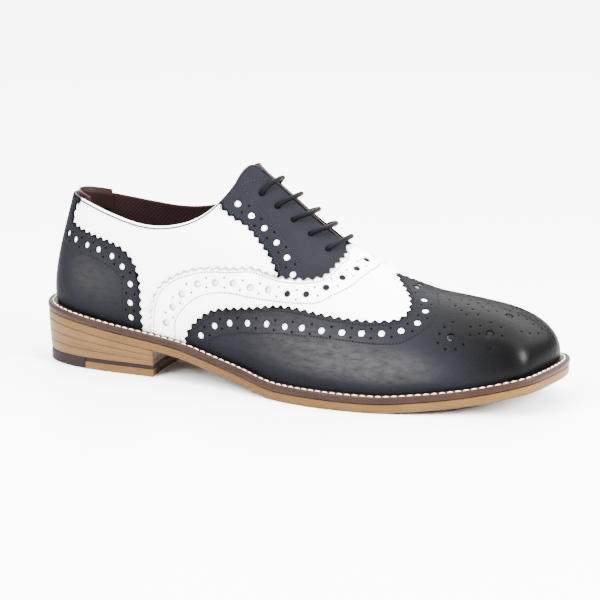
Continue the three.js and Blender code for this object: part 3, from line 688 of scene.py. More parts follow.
@dataclass
class Panel:
    """A piece of leather cut flat and laid on the last, with punched holes and pressed seams.

    The outline is a closed row of spots on the outer side. The cut is a Delaunay net over the outline,
    the holes and an even net of spots between them. Both sides of the shoe share the cut.
    """

    outline: np.ndarray
    top: float
    bottom: float
    punches: Sequence[Punch] = ()
    grooves: Sequence[Line] = ()
    spacing: float = 1.7
    groove_depth: float = 0.22
    groove_width: float = 0.55
    edge_dip: float = 0.12
    lip: float = 0.55
    row_offsets: Sequence[float] = (0.0, -0.75, 0.75)
    row_pitch: float = 1.3
    row_end: float = 0.6
    lip_room: float = 0.12
    row_room: float = 0.42
    net_room: float = 0.6

    def net(self, last: Last) -> np.ndarray:
        """Even spots over the outline: of many close spots, the nearest to each lattice point."""
        low, high = self.outline.min(axis=0), self.outline.max(axis=0)
        around = np.arange(low[0], high[0], 0.035)
        height = np.arange(low[1], high[1], 0.006)
        many = np.stack(np.meshgrid(around, height, indexing="ij"), axis=-1).reshape(-1, 2)
        plane = last.flat(many)
        row = np.round(plane[:, 1] / (self.spacing * 0.866))
        column = np.round(plane[:, 0] / self.spacing - 0.5 * (row % 2))
        target = np.stack([(column + 0.5 * (row % 2)) * self.spacing,
                           row * self.spacing * 0.866], axis=-1)
        gap = ((plane - target) ** 2).sum(axis=1)
        order = np.lexsort((gap, column, row))
        _, first = np.unique(np.stack([row, column], axis=1)[order], axis=0, return_index=True)
        best = order[first]
        return many[best[gap[best] < (0.3 * self.spacing) ** 2]]

    def cut(self, last: Last) -> tuple[np.ndarray, np.ndarray, np.ndarray, np.ndarray]:
        """Cuts the panel.

        Args:
            last: the face that it lies on.

        Returns:
            Spots, triangles, how deep each spot is pressed, and 1 for spots on a cut edge. The
            ridge and the middle of heel and toe, where both sides meet, are no cut edge.
        """
        rings = [punch.rings(last, punch.radius) for punch in self.punches]
        lips = [punch.rings(last, punch.radius + self.lip).reshape(-1, 2) for punch in self.punches]
        fixed = [self.outline] + [ring.reshape(-1, 2) for ring in rings]
        pairs, start = [], 0
        for loop in [self.outline[None]] + rings:
            count, sides = loop.shape[:2]
            base = start + np.arange(count)[:, None] * sides
            step = np.arange(sides)[None]
            pairs.append(np.stack([base + step, base + (step + 1) % sides], axis=-1).reshape(-1, 2))
            start += count * sides
        fixed_spots = np.vstack(fixed)
        fixed_plane = last.flat(fixed_spots)
        outline = fixed_plane[:len(self.outline)]
        spots, plane = fixed_spots, fixed_plane
        rows = [line.aside(line.spaced(self.row_pitch, self.row_end, self.row_end), offset)
                for line in self.grooves for offset in self.row_offsets]
        for group, room in [(lips, self.lip_room), (rows, self.row_room),
                            ([self.net(last)], self.net_room)]:
            for more in group:
                flat = last.flat(more)
                free = inside(flat, outline) & (nearest(flat, plane) > room * self.spacing)
                spots, plane = np.vstack([spots, more[free]]), np.vstack([plane, flat[free]])
        result = delaunay_2d_cdt([Vector(p) for p in plane.tolist()], np.vstack(pairs).tolist(),
                                 [], 0, 1e-6, True)
        origin = np.array([ids[0] for ids in result[3]])
        triangles = origin[np.array(result[2])]
        centre = plane[triangles].mean(axis=1)
        keep = inside(centre, outline)
        for hole in (hole for ring in rings for hole in last.flat(ring)):
            keep &= ~inside(centre, hole)
        triangles = triangles[keep]
        a, b, c = (spots[triangles[:, k]] for k in range(3))
        turn = (b[:, 0] - a[:, 0]) * (c[:, 1] - a[:, 1]) - (b[:, 1] - a[:, 1]) * (c[:, 0] - a[:, 0])
        triangles[turn < 0] = triangles[turn < 0][:, ::-1]
        dip = np.zeros(len(spots))
        for line in self.grooves:
            distance = nearest(plane, last.flat(line.at(line.spaced(0.5))))
            press = self.groove_depth * np.exp(-((distance / self.groove_width) ** 2))
            dip = np.maximum(dip, press)
        raw = np.zeros(len(spots))
        raw[:len(fixed_spots)] = 1.0
        middle = (spots[:, 0] < 1e-6) | (spots[:, 0] > TOE - 1e-6)
        ridge = (spots[:, 1] > 0.9999) & (spots[:, 0] > last.throat_end)
        raw[middle | ridge] = 0.0
        dip += raw * self.edge_dip
        return spots, triangles, dip, raw

    def shape(self, last: Last, sides: Sequence[int],
              shade: Callable[[np.ndarray, np.ndarray], np.ndarray]) -> Shape:
        """The panel as a closed solid on one or both sides of the shoe.

        Args:
            last: the face.
            sides: -1 for the outer side, 1 for the inner one.
            shade: burnish for stations and heights.

        Returns:
            The solid, with burnish and edge at its points.
        """
        spots, triangles, dip, raw = self.cut(last)
        points, faces, burnish_and_painted_light, edge, under = [], [], [], [], []
        for number, side in enumerate(sides):
            around = on_side(spots[:, 0], side)
            points.append(last.point(around, spots[:, 1], self.top + dip))
            under.append(last.point(around, spots[:, 1], np.full(len(spots), self.bottom)))
            turned = triangles if side < 0 else triangles[:, ::-1]
            faces.append(turned + number * len(spots))
            # Burnish, with painted sheen where the value is below zero.
            burnish_and_painted_light.append(shade(spots[:, 0], spots[:, 1]))
            edge.append(raw)
        top, faces, first = weld(np.vstack(points), as_quads(np.vstack(faces)))
        low = np.vstack(under)[first]
        rim = rim_edges(faces)
        rim_value = np.zeros(len(top))
        rim_value[np.unique(rim)] = 1.0
        # The edge value darkens cut edges, hole rims and walls: edge stain with painted shade.
        values = {"burnish_and_painted_light": np.tile(np.concatenate(burnish_and_painted_light)[first], 2),
                  "edge": np.concatenate([np.concatenate(edge)[first] * rim_value, rim_value])}
        return Shape(np.vstack([top, low]), solid_faces(faces, rim, len(top)), values)


def pinked(line: Line, pitch: float = 4.75, depth: float = 1.5, plain: float = 0.0) -> np.ndarray:
    """Spots along a pinked edge: teeth with slightly blunt tips, dying out at both ends.

    Args:
        line: the middle of the teeth.
        pitch: from tooth to tooth.
        depth: from root to tip.
        plain: length without teeth at the end.

    Returns:
        Spots from the line's start to its end.
    """
    count = max(int(round(line.length / pitch)), 1)
    tooth = np.array([[0.0, -0.5], [0.12, -0.36], [0.41, 0.4], [0.5, 0.5], [0.59, 0.4],
                      [0.88, -0.36]])
    place = ((np.arange(count)[:, None] + tooth[None, :, 0]) * line.length / count).ravel()
    level = np.tile(tooth[:, 1] * depth, count) * ramp(line.length - place, plain, plain + 1.0)
    place, level = np.append(place, line.length), np.append(level, 0.0)
    level[0] = 0.0
    spots = line.aside(place, level)
    spots[0], spots[-1] = line.spots[0], line.spots[-1]
    return np.clip(spots, [0, -1], [TOE, 1])


def run(start: tuple[float, float], end: tuple[float, float], pitch: float = 1.7) -> np.ndarray:
    """Spots on a straight run of stations and heights, without the last one."""
    line = Line(LAST, [start, end], 80)
    steps = max(int(line.length / pitch), 2)
    return line.at(np.linspace(0, line.length, steps + 1)[:-1])


def both(spots: np.ndarray, sides: Sequence[int]) -> np.ndarray:
    """The spots as places round the shoe, repeated for each side."""
    return np.vstack([np.column_stack([on_side(spots[:, 0], side), spots[:, 1]])
                      for side in sides])


@dataclass
class Stitches:
    """Short threads in a row: each one is a thin capsule that bows up out of its needle holes."""

    pitch: float = 1.75
    length: float = 1.35
    radius: float = 0.2
    bow: float = 0.16
    sides: int = 5
    rings: int = 5

    def capsule(self) -> tuple[np.ndarray, np.ndarray]:
        """One thread along its own axes: circles whose radius and height follow half a sine wave."""
        t = np.linspace(0, 1, self.rings)[:, None]
        turn = round_angles(self.sides)[None]
        radius = self.radius * np.sqrt(np.clip(np.sin(math.pi * (0.06 + 0.88 * t)), 0, 1))
        along = (t - 0.5) * self.length + 0 * turn
        across = radius * np.cos(turn)
        rise = radius * np.sin(turn) + self.bow * np.sin(math.pi * t)
        points = np.stack([along, across, rise], axis=-1).reshape(-1, 3)
        return points, tube_faces(self.rings, self.sides, flip=True)

    def along(self, origin: np.ndarray, run_way: np.ndarray, out_way: np.ndarray) -> Shape:
        """Threads at the given places.

        Args:
            origin: middle of each thread.
            run_way: unit vectors along the threads.
            out_way: unit vectors out of the leather.

        Returns:
            All the threads as one shape.
        """
        template, faces = self.capsule()
        across = np.cross(out_way, run_way)
        axes = np.stack([run_way, across, out_way], axis=1)
        points = origin[:, None] + np.einsum("mk,nkd->nmd", template, axes)
        moved = np.arange(len(origin))[:, None, None] * len(template) + np.maximum(faces, 0)[None]
        moved = np.where(faces[None] < 0, -1, moved)
        return Shape(points.reshape(-1, 3), moved.reshape(-1, 4))

    def sew(self, last: Last, lines: Sequence[Line], depth: float, sides: Sequence[int]) -> Shape:
        """Threads along lines on the last.

        Args:
            last: the face.
            lines: rows to sew.
            depth: of the leather's surface in the groove.
            sides: of the shoe.

        Returns:
            The threads.
        """
        origins, runs, outs = [], [], []
        for line in lines:
            middle = line.spaced(self.pitch, self.pitch / 2, self.pitch / 2)
            here, ahead = line.at(middle), line.at(middle + 0.3)
            for side in sides:
                around = on_side(here[:, 0], side)
                level = np.full(len(here), depth)
                place = last.point(around, here[:, 1], level)
                out = -last.inward(around, here[:, 1])
                way = last.point(on_side(ahead[:, 0], side), ahead[:, 1], level) - place
                origins.append(place)
                runs.append(unit(square_to(way, out)))
                outs.append(out)
        return self.along(np.vstack(origins), np.vstack(runs), np.vstack(outs))


def needle_spots(lines: Sequence[Line], pitch: float) -> np.ndarray:
    """Spots where threads of a pitch go into the leather."""
    return np.vstack([line.at(line.spaced(pitch)) for line in lines])


def discs(last: Last, around: np.ndarray, radius: float, depth: float, thickness: float = 0.04,
          sides: int = 8) -> Shape:
    """Thin lenses on the face: a ring with a point above and below its middle.

    Args:
        last: the face.
        around: places round the shoe and heights.
        radius: of each ring.
        depth: of the rings under the face.
        thickness: from one point to the other.
        sides: of a ring.

    Returns:
        All lenses as one shape.
    """
    along, _ = last.slopes(around[:, 0], around[:, 1])
    inward = last.inward(around[:, 0], around[:, 1])
    run_way = unit(square_to(along, inward))
    middle = last.point(around[:, 0], around[:, 1], np.full(len(around), depth))
    ring = middle[:, None] + circles(run_way, np.cross(inward, run_way), sides, radius)
    tips = middle[:, None] + inward[:, None] * np.array([-0.5, 0.5])[:, None] * thickness
    points = np.concatenate([ring, tips], axis=1)
    step = np.arange(sides)
    upper = np.stack([step, (step + 1) % sides, np.full(sides, sides)], axis=1)
    lower = np.stack([(step + 1) % sides, step, np.full(sides, sides + 1)], axis=1)
    outward = np.sum(np.cross(points[0, 1] - points[0, 0], points[0, sides] - points[0, 0])
                     * -inward[0]) > 0
    faces = np.vstack([upper, lower]) if outward else np.vstack([upper, lower])[:, ::-1]
    faces = faces[None] + np.arange(len(around))[:, None, None] * (sides + 2)
    return Shape(points.reshape(-1, 3), as_quads(faces.reshape(-1, 3)))


class Signal:
    """A number on its way through a material; the usual operators add Math nodes."""

    def __init__(self, recipe: "Recipe", socket: bpy.types.NodeSocket) -> None:
        """Wraps a socket of a recipe's node tree."""
        self.recipe = recipe
        self.socket = socket

    def _math(self, operation: str, *values: "Signal | float") -> "Signal":
        """A Math node over this signal and others."""
        inputs = {i: value for i, value in enumerate(values)}
        return self.recipe.node("ShaderNodeMath", {"operation": operation}, inputs)

    def __add__(self, other: "Signal | float") -> "Signal":
        """Sum."""
        return self._math("ADD", self, other)

    __radd__ = __add__

    def __mul__(self, other: "Signal | float") -> "Signal":
        """Product."""
        return self._math("MULTIPLY", self, other)

    __rmul__ = __mul__

    def __sub__(self, other: "Signal | float") -> "Signal":
        """Difference."""
        return self._math("SUBTRACT", self, other)

    def __rsub__(self, other: float) -> "Signal":
        """Difference from a number."""
        return self._math("SUBTRACT", other, self)

    def clamped(self) -> "Signal":
        """Held between 0 and 1."""
        return self._math("MINIMUM", self._math("MAXIMUM", self, 0.0), 1.0)

    def sine(self) -> "Signal":
        """Sine."""
        return self._math("SINE", self)

    def step_between(self, start: float, end: float) -> "Signal":
        """Soft share from 0 at start to 1 at end."""
        return self.recipe.node("ShaderNodeMapRange", {"interpolation_type": "SMOOTHSTEP"},
                                {"Value": self, "From Min": start, "From Max": end})


Colour = tuple[float, float, float]


def scaled(colour: Colour, factor: float) -> Colour:
    """A colour times a factor."""
    return tuple(factor * part for part in colour)


class Recipe:
    """One material's node tree, filled from Python expressions."""

    def __init__(self, name: str) -> None:
        """Starts a material with only its output and its main shader."""
        self.material = bpy.data.materials.new(name)
        self.material.use_nodes = True
        self.tree = self.material.node_tree
        self.tree.nodes.clear()
        output = self.tree.nodes.new("ShaderNodeOutputMaterial")
        self.shader = self.tree.nodes.new("ShaderNodeBsdfPrincipled")
        self.tree.links.new(self.shader.outputs["BSDF"], output.inputs["Surface"])

    def plug(self, socket: bpy.types.NodeSocket, value: object) -> None:
        """Links a signal or socket, or sets a value, on an input."""
        if isinstance(value, Signal):
            self.tree.links.new(value.socket, socket)
        elif isinstance(value, bpy.types.NodeSocket):
            self.tree.links.new(value, socket)
        elif socket.type == "RGBA" and len(value) == 3:
            socket.default_value = (*value, 1.0)
        else:
            socket.default_value = value

    def node(self, kind: str, settings: Optional[dict] = None, inputs: Optional[dict] = None,
             output: int | str = 0) -> Signal:
        """Adds a node.

        Args:
            kind: Blender's name for its type.
            settings: its own properties, set first.
            inputs: values or links for its sockets, by name or number.
            output: the output to return.

        Returns:
            The output as a signal.
        """
        node = self.tree.nodes.new(kind)
        for name, value in (settings or {}).items():
            setattr(node, name, value)
        for name, value in (inputs or {}).items():
            self.plug(node.inputs[name], value)
        return Signal(self, node.outputs[output])

    def place(self, scale: tuple[float, float, float] = (1000.0, 1000.0, 1000.0)) -> Signal:
        """Object coordinates in millimetres, stretched by a scale."""
        return self.node("ShaderNodeMapping", None,
                         {"Vector": self.node("ShaderNodeTexCoord", None, None, "Object"),
                          "Scale": scale})

    def noise(self, scale: float, detail: float = 3.0, rough: float = 0.55,
              vector: Optional[Signal] = None) -> Signal:
        """Cloudy noise from 0 to 1, with scale in lumps for each millimetre."""
        return self.node("ShaderNodeTexNoise", None,
                         {"Vector": vector or self.place(), "Scale": scale, "Detail": detail,
                          "Roughness": rough})

    def cells(self, scale: float, feature: str = "F1", vector: Optional[Signal] = None) -> Signal:
        """Distance to scattered cells."""
        return self.node("ShaderNodeTexVoronoi", {"feature": feature},
                         {"Vector": vector or self.place(), "Scale": scale}, "Distance")

    def value(self, name: str) -> Signal:
        """A value that the mesh holds at its points."""
        return self.node("ShaderNodeAttribute", {"attribute_name": name}, None, "Fac")

    def mix(self, share: "Signal | float", low: object, high: object) -> Signal:
        """Colour between two colours."""
        return self.node("ShaderNodeMix", {"data_type": "RGBA"},
                         {0: share, 6: low, 7: high}, 2)

    def bump(self, height: Signal, distance: float, under: Optional[Signal] = None) -> Signal:
        """Normal from a height between 0 and 1, whose full step is a distance in millimetres."""
        inputs = {"Height": height, "Distance": distance * MM, "Strength": 1.0}
        if under is not None:
            inputs["Normal"] = under
        return self.node("ShaderNodeBump", None, inputs)

    def dress(self, **values: object) -> bpy.types.Material:
        """Sets the main shader's inputs, named with underscores, and returns the material."""
        for name, value in values.items():
            self.plug(self.shader.inputs[name.replace("_", " ").title()
                                         .replace("Ior", "IOR")], value)
        return self.material


@dataclass(frozen=True)
class Calf:
    """Smooth calf leather with a fine grain, darker where it is burnished."""

    name: str
    base: Colour
    burnished: Colour
    # Edge colour: dark edge stain, with painted shade round hole rims and along pinked edges.
    edge: Colour
    roughness: float = 0.42
    polish: float = 0.3
    mottle: float = 0.25
    coat: float = 0.25
    # Paler colour of the painted sheen: a painted highlight, with some fading.
    sheen_and_fade: Colour = (0.8, 0.8, 0.78)
    wrinkle: float = 0.10
    shine: float = 0.25

    def make(self) -> bpy.types.Material:
        """Colour from burnish, edge and slow noise; bump from pores and faint wrinkles. Burnish
        below zero lifts the colour as painted sheen: a painted highlight, with some fading."""
        recipe = Recipe(self.name)
        cloud = recipe.noise(0.045, 4.0, 0.6)
        fine = recipe.noise(0.9, 3.0)
        # The value holds burnish, painted sheen below zero, and stain with painted shade on the white
        # quarter.
        burnish_and_painted_light = recipe.value("burnish_and_painted_light")
        uneven = (burnish_and_painted_light + (cloud - 0.5) * 0.35 * burnish_and_painted_light * (1.0 - burnish_and_painted_light) * 4.0).clamped()
        mottle = cloud.step_between(0.3, 0.7) * self.mottle
        tint = recipe.mix(mottle, self.base, scaled(self.base, 1.7))
        # Painted sheen: where burnish is below zero the colour goes paler in broken patches, a painted
        # highlight with some fading.
        sheen_and_fade_noise = recipe.noise(0.3, 5.0, 0.7, recipe.place((500.0, 1000.0, 1500.0)))
        pale = ((0.0 - burnish_and_painted_light).clamped() * sheen_and_fade_noise.step_between(0.1, 0.75) * 1.25).clamped()
        tint = recipe.mix(pale, tint, self.sheen_and_fade)
        tint = recipe.mix(uneven, tint, self.burnished)
        # Edge stain with painted shade: darker at cut edges, hole rims and walls.
        tint = recipe.mix(recipe.value("edge").step_between(0.2, 0.8) * 0.9, tint, self.edge)
        rough = self.roughness + (fine - 0.5) * 0.12 - uneven * self.polish * 0.4
        grain = recipe.bump(recipe.cells(1.5, "SMOOTH_F1") * 0.6 + fine * 0.4, 0.05)
        grain = recipe.bump(recipe.noise(0.22, 2.0), 0.12, grain)
        creases = recipe.noise(0.4, 3.0, 0.6, recipe.place((800.0, 1000.0, 1250.0)))
        grain = recipe.bump(creases, self.wrinkle, grain)
        return recipe.dress(base_color=tint, roughness=rough, normal=grain,
                            coat_weight=self.coat * uneven, coat_roughness=0.34,
                            specular_ior_level=self.shine)


@dataclass(frozen=True)
class LiningLeather:
    """Dark lining with rows of fine pinpricks."""

    name: str
    base: Colour

    def make(self) -> bpy.types.Material:
        """Colour with slow noise, and dots from two crossed sine waves over the place."""
        recipe = Recipe(self.name)
        cloud = recipe.noise(0.08, 3.0)
        split = recipe.node("ShaderNodeSeparateXYZ", None, {"Vector": recipe.place()}, 0)
        node = split.socket.node
        along, up = Signal(recipe, node.outputs[0]), Signal(recipe, node.outputs[2])
        dots = ((along * 2.6).sine() * (up * 2.6).sine()).step_between(0.25, 0.9)
        tint = recipe.mix(cloud, self.base, scaled(self.base, 1.5))
        tint = recipe.mix(dots * 0.8, tint, scaled(self.base, 3.2))
        normal = recipe.bump(dots, 0.16, recipe.bump(recipe.noise(1.1), 0.06))
        return recipe.dress(base_color=tint, roughness=0.72 + cloud * 0.1, normal=normal,
                            specular_ior_level=0.08)


@dataclass(frozen=True)
class EdgeLeather:
    """Waxed edge of sole leather: fine lines along its layers."""

    name: str
    base: Colour
    dark: Colour
    lines: float = 0.5
    roughness: float = 0.42

    def make(self) -> bpy.types.Material:
        """Streaks from noise squeezed along the height value, and a darker line at each join."""
        recipe = Recipe(self.name)
        rise = recipe.value("rise")
        vector = recipe.node("ShaderNodeCombineXYZ", None,
                             {"X": recipe.noise(0.01, 1.0) * 3.0, "Y": recipe.value("lap"),
                              "Z": rise * 9.0})
        streak = recipe.node("ShaderNodeTexNoise", None,
                             {"Vector": vector, "Scale": 1.0, "Detail": 4.0, "Roughness": 0.6})
        blotch = recipe.noise(0.06, 3.0)
        fibre = recipe.noise(0.9, 3.0, 0.6, recipe.place((350.0, 350.0, 2600.0)))
        shade = (streak * 0.6 + blotch * 0.25 + fibre * 0.25).step_between(0.35, 0.75)
        tint = recipe.mix(shade, self.dark, self.base)
        join = recipe.value("join")
        tint = recipe.mix(join.step_between(0.3, 1.0) * self.lines, tint,
                          scaled(self.dark, 0.28))
        normal = recipe.bump(fibre * 0.7 + streak * 0.3, 0.05)
        return recipe.dress(base_color=tint, roughness=self.roughness + fibre * 0.12,
                            normal=normal, specular_ior_level=0.08)


@dataclass(frozen=True)
class Plain:
    """An even finish with a fine cloud in colour and a fine bump."""

    name: str
    base: Colour
    roughness: float = 0.6
    grain: float = 0.04
    scale: float = 1.5

    def make(self) -> bpy.types.Material:
        """Colour between eight tenths and twelve tenths of the base."""
        recipe = Recipe(self.name)
        cloud = recipe.noise(self.scale, 3.0)
        tint = recipe.mix(cloud, scaled(self.base, 0.8), scaled(self.base, 1.2))
        return recipe.dress(base_color=tint, roughness=self.roughness + cloud * 0.08,
                            normal=recipe.bump(cloud, self.grain), specular_ior_level=0.1)


@dataclass(frozen=True)
class WaxedCord:
    """Round waxed lace: two sets of strands wind round it."""

    name: str
    base: Colour

    def make(self) -> bpy.types.Material:
        """Bump from two sine waves over the cord's own length and turn, crossing each other; the
        colour is darker in the grooves between strands, as painted shade.
        """
        recipe = Recipe(self.name)
        length, turn = recipe.value("length"), recipe.value("turn")
        left = (length * 3.2 + turn * 4.0).sine()
        right = (length * 3.2 - turn * 4.0).sine()
        weave = (left * right) * 0.5 + 0.5
        # Painted shade: darker where the weave is low.
        tint = recipe.mix(weave, scaled(self.base, 0.6), self.base)
        return recipe.dress(base_color=tint, roughness=0.55, normal=recipe.bump(weave, 0.16),
                            specular_ior_level=0.04)


class Finish(Enum):
    """The finishes of the shoe."""

    # Navy calf. Its paler colour is painted sheen; its edge colour is edge stain with painted shade.
    NAVY = Calf("navy_calf", (0.0063, 0.0064, 0.0082), (0.0010, 0.0010, 0.0011),
                (0.0008, 0.0008, 0.0012), sheen_and_fade=(0.0225, 0.0220, 0.0228), roughness=0.52,
                polish=0.3, coat=0.075, wrinkle=0.4, shine=0.004)
    # White calf. Its grey edge colour is painted shade round holes and pinked edges, with edge stain.
    WHITE = Calf("white_calf", (0.88, 0.88, 0.86), (0.012, 0.006, 0.0065), (0.08, 0.08, 0.085),
                 roughness=0.5, polish=0.0, mottle=0.0, coat=0.0)
    LINING = LiningLeather("maroon_lining", (0.0078, 0.0032, 0.0033))
    TAB = Calf("maroon_tab", (0.0095, 0.0042, 0.0038), (0.01, 0.004, 0.004), (0.02, 0.009, 0.007),
               roughness=0.5, shine=0.1)
    SOCK = Plain("maroon_sock", (0.012, 0.006, 0.0055), 0.6)
    WELT = EdgeLeather("waxed_welt", (0.0215, 0.0092, 0.0060), (0.0080, 0.0033, 0.0024), 0.4)
    SOLE = EdgeLeather("waxed_sole_edge", (0.086, 0.045, 0.0140), (0.043, 0.021, 0.0065), 0.3)
    STACK = EdgeLeather("stacked_leather", (0.098, 0.051, 0.0180), (0.049, 0.025, 0.0085), 0.35)
    RUBBER = Plain("tip_rubber", (0.0075, 0.0038, 0.0042), 0.62)
    CORD = WaxedCord("waxed_cord", (0.0010, 0.0011, 0.0016))
    NAVY_THREAD = Plain("navy_thread", (0.0020, 0.0022, 0.0036), 0.5, 0.03, 4.0)
    GREY_THREAD = Plain("lavender_thread", (0.012, 0.012, 0.020), 0.6, 0.03, 4.0)
    WHITE_THREAD = Plain("white_thread", (0.36, 0.36, 0.37), 0.6, 0.03, 4.0)
    WELT_THREAD = Plain("cream_thread", (0.66, 0.58, 0.46), 0.7, 0.05, 3.0)
    # Painted shade in the needle holes of the white panels.
    NEEDLE = Plain("painted_needle_shade", (0.012, 0.012, 0.013), 0.9)
    # Painted shade inside pinholes and in the needle holes of the navy panels.
    PIT = Plain("painted_pit_shade", (0.001, 0.001, 0.0012), 0.95)


def finish(choice: Finish) -> bpy.types.Material:
    """The material of a finish, made once."""
    return bpy.data.materials.get(choice.value.name) or choice.value.make()


def navy_darkening_and_sheen(station: np.ndarray, height: np.ndarray) -> np.ndarray:
    """Burnish of the navy panels: deep at the toe tip, along the welt and low on the heel. Below
    zero it is painted sheen: a broad painted highlight over the side between the joint and the toe,
    with some fading, and a smaller one on the side of the heel."""
    toe = smooth(station + 0.9 * (height - 0.5), 12.3, 14.7)
    low = (1.0 - smooth(height, -0.02, 0.13)) * 0.7
    heel = (1.0 - smooth(station, 0.2, 3.3)) * (1.0 - smooth(height, 0.2, 0.75)) * 0.85
    dark = np.clip(np.maximum(np.maximum(toe, low), heel), 0, 1)
    # Painted highlight on the side between the joint and the toe, with some fading.
    side = np.exp(-(((station - 11.0) / 2.6) ** 2) - ((height - 0.21) / 0.14) ** 2)
    # Painted highlight on the side of the heel.
    quarter = np.exp(-(((station - 3.2) / 1.1) ** 2) - ((height - 0.42) / 0.2) ** 2)
    # Below zero where not burnished: painted sheen.
    return dark - (1.0 - dark) * np.clip(side + 0.45 * quarter, 0, 1)


def plain_shade(station: np.ndarray, height: np.ndarray) -> np.ndarray:
    """No burnish."""
    return np.zeros_like(station) + 0 * height


@dataclass
class Quarter:
    """The white body of the upper and the lining inside it, as two nested shells."""

    outer: float = 1.35
    between: float = 2.35
    inner: float = 3.7
    columns: int = 272
    rows: int = 34
    rim_rows: int = 6
    rim_seam: float = 1.0

    def shell(self, outer: float, inner: float, stain_and_shade: Callable) -> Shape:
        """A shell whose profile climbs the outer face, turns over the rim in a half circle and goes
        down the inner face, carried round the shoe.

        Args:
            outer: depth of the outer face.
            inner: depth of the inner face.
            stain_and_shade: share of the dark colour for stations and heights.

        Returns:
            The closed shell.
        """
        share = np.linspace(0, 1, self.rows)
        climb = FOOT + (1.0 - FOOT) * (1.0 - (1.0 - share) ** 1.25)
        turn = np.linspace(0, math.pi, self.rim_rows + 2)[1:-1]
        middle, half = 0.5 * (outer + inner), 0.5 * (inner - outer)
        height = np.concatenate([climb, np.ones(len(turn)), climb[::-1]])
        depth = np.concatenate([np.full(self.rows, outer), middle - half * np.cos(turn),
                                np.full(self.rows, inner)])
        lift = np.concatenate([np.zeros(self.rows), half * np.sin(turn), np.zeros(self.rows)])
        around = np.linspace(0, ROUND, self.columns + 1)[:-1]
        station = TOE - np.abs(around - TOE)
        open_top = 1.0 - ramp(station, LAST.throat_end - 0.3, LAST.throat_end)
        grid_u, grid_h = np.meshgrid(around, height, indexing="ij")
        points = LAST.point(grid_u, grid_h, np.broadcast_to(depth, grid_u.shape))
        up = unit(LAST.slopes(around, np.full(len(around), 0.995))[1])
        points = points + up[:, None] * (lift[None] * open_top[:, None])[..., None]
        darkening_share = stain_and_shade(TOE - np.abs(grid_u - TOE), grid_h).ravel()
        shape = Shape(points.reshape(-1, 3), loop_faces(len(around), len(height)),
                      {"burnish_and_painted_light": darkening_share, "edge": np.zeros(grid_u.size)})
        return shape.welded()

    @staticmethod
    def stain_and_shade(station: np.ndarray, height: np.ndarray) -> np.ndarray:
        """Dark edges along the throat and round the heel, painted shade inside the eyelets, and dark
        under the toe cap, which its holes show.
        """
        throat = (smooth(station, 6.9, 7.1) * (1.0 - smooth(station, 11.4, 11.7))
                  * smooth(height, 0.9, 0.95))
        throat = np.maximum(throat, (1.0 - smooth(station, 1.85, 1.95)) * smooth(height, 0.9, 0.95))
        # Painted shade inside the eyelets, beside the laces.
        eyelets = smooth(station, 8.75, 8.85) * smooth(height, 0.76, 0.78)
        throat = np.maximum(throat, eyelets * (1.0 - smooth(station, 11.4, 11.7)))
        toe = smooth(station + 0.9 * height, 13.95, 14.2)
        return np.maximum(throat, toe)

    def build(self) -> None:
        """Makes the two shells and the dark seam below the collar's rim."""
        white = self.shell(self.outer, self.between, self.stain_and_shade)
        white.make("quarter", finish(Finish.WHITE), "white_leather", ["upper"])
        lining = self.shell(self.between + 0.05, self.inner, plain_shade)
        lining.make("lining_shell", finish(Finish.LINING), "lining", ["upper"])
        station = np.linspace(1.7, 7.3, 12)
        drop = 1.0 - self.rim_seam / LAST.rib_length(station)
        seam = Line(LAST, list(zip(station, drop)))
        threads = Stitches(pitch=1.5, length=1.75, radius=0.5, bow=0.03)
        shape = threads.sew(LAST, [seam], self.outer - 0.1, (-1, 1))
        shape.make("collar_stitches", finish(Finish.NAVY_THREAD), "navy_leather")


CAP_ROWS = [(5.85, 0), (5.95, 0.134), (6.41, 0.302), (7.22, 0.35), (8.7, 0.345), (10.46, 0.408),
            (11.92, 0.477), (12.75, 0.576), (13.03, 0.748), (12.85, 0.888), (12.5, 1)]
VAMP_ROWS = [(5, 0), (5.1, 0.31), (5.45, 0.531), (6.3, 0.628), (7.55, 0.547), (8.99, 0.488),
             (9.85, 0.507), (10.55, 0.59), (10.94, 0.694), (11.25, 0.862), (11.2, 0.935),
             (11.27, 1)]
FACING_ROWS = [(6.95, 1), (7.26, 0.9), (8.14, 0.72), (9.07, 0.597), (9.41, 0.517), (9.57, 0.428)]
COUNTER_ROWS = [(1.9, 1), (1.66, 0.92), (1.66, 0.84), (1.85, 0.778), (2.5, 0.76), (3.5, 0.764),
                (4.3, 0.736), (4.72, 0.571), (4.8, 0.307), (4.8, 0)]
CAP_HOLES = [(6.25, 0.123), (6.66, 0.231), (7.16, 0.266), (7.9, 0.273), (8.8, 0.278),
             (9.49, 0.285), (10.03, 0.309), (10.57, 0.333), (11.11, 0.361), (11.64, 0.389),
             (12.16, 0.42), (12.65, 0.471), (13.1, 0.568), (13.36, 0.699), (13.35, 0.823),
             (13.05, 0.964)]
BAND_HOLES = [(5.4, 0.142), (5.6, 0.31), (5.85, 0.437), (6.3, 0.52), (6.86, 0.509), (7.55, 0.474),
              (8.28, 0.426), (9.09, 0.419), (9.71, 0.432), (10.25, 0.478), (10.79, 0.571),
              (11.22, 0.679), (11.61, 0.798), (11.8, 0.932)]
FACING_HOLES = [(8.1, 0.812), (8.77, 0.713), (9.24, 0.676), (9.58, 0.64), (9.83, 0.6),
                (9.94, 0.536)]
COUNTER_HOLES = [(1.7, 0.67), (2.3, 0.655), (2.95, 0.66), (3.45, 0.665), (3.95, 0.651),
                 (4.3, 0.589), (4.55, 0.446), (4.55, 0.259), (4.55, 0.106)]
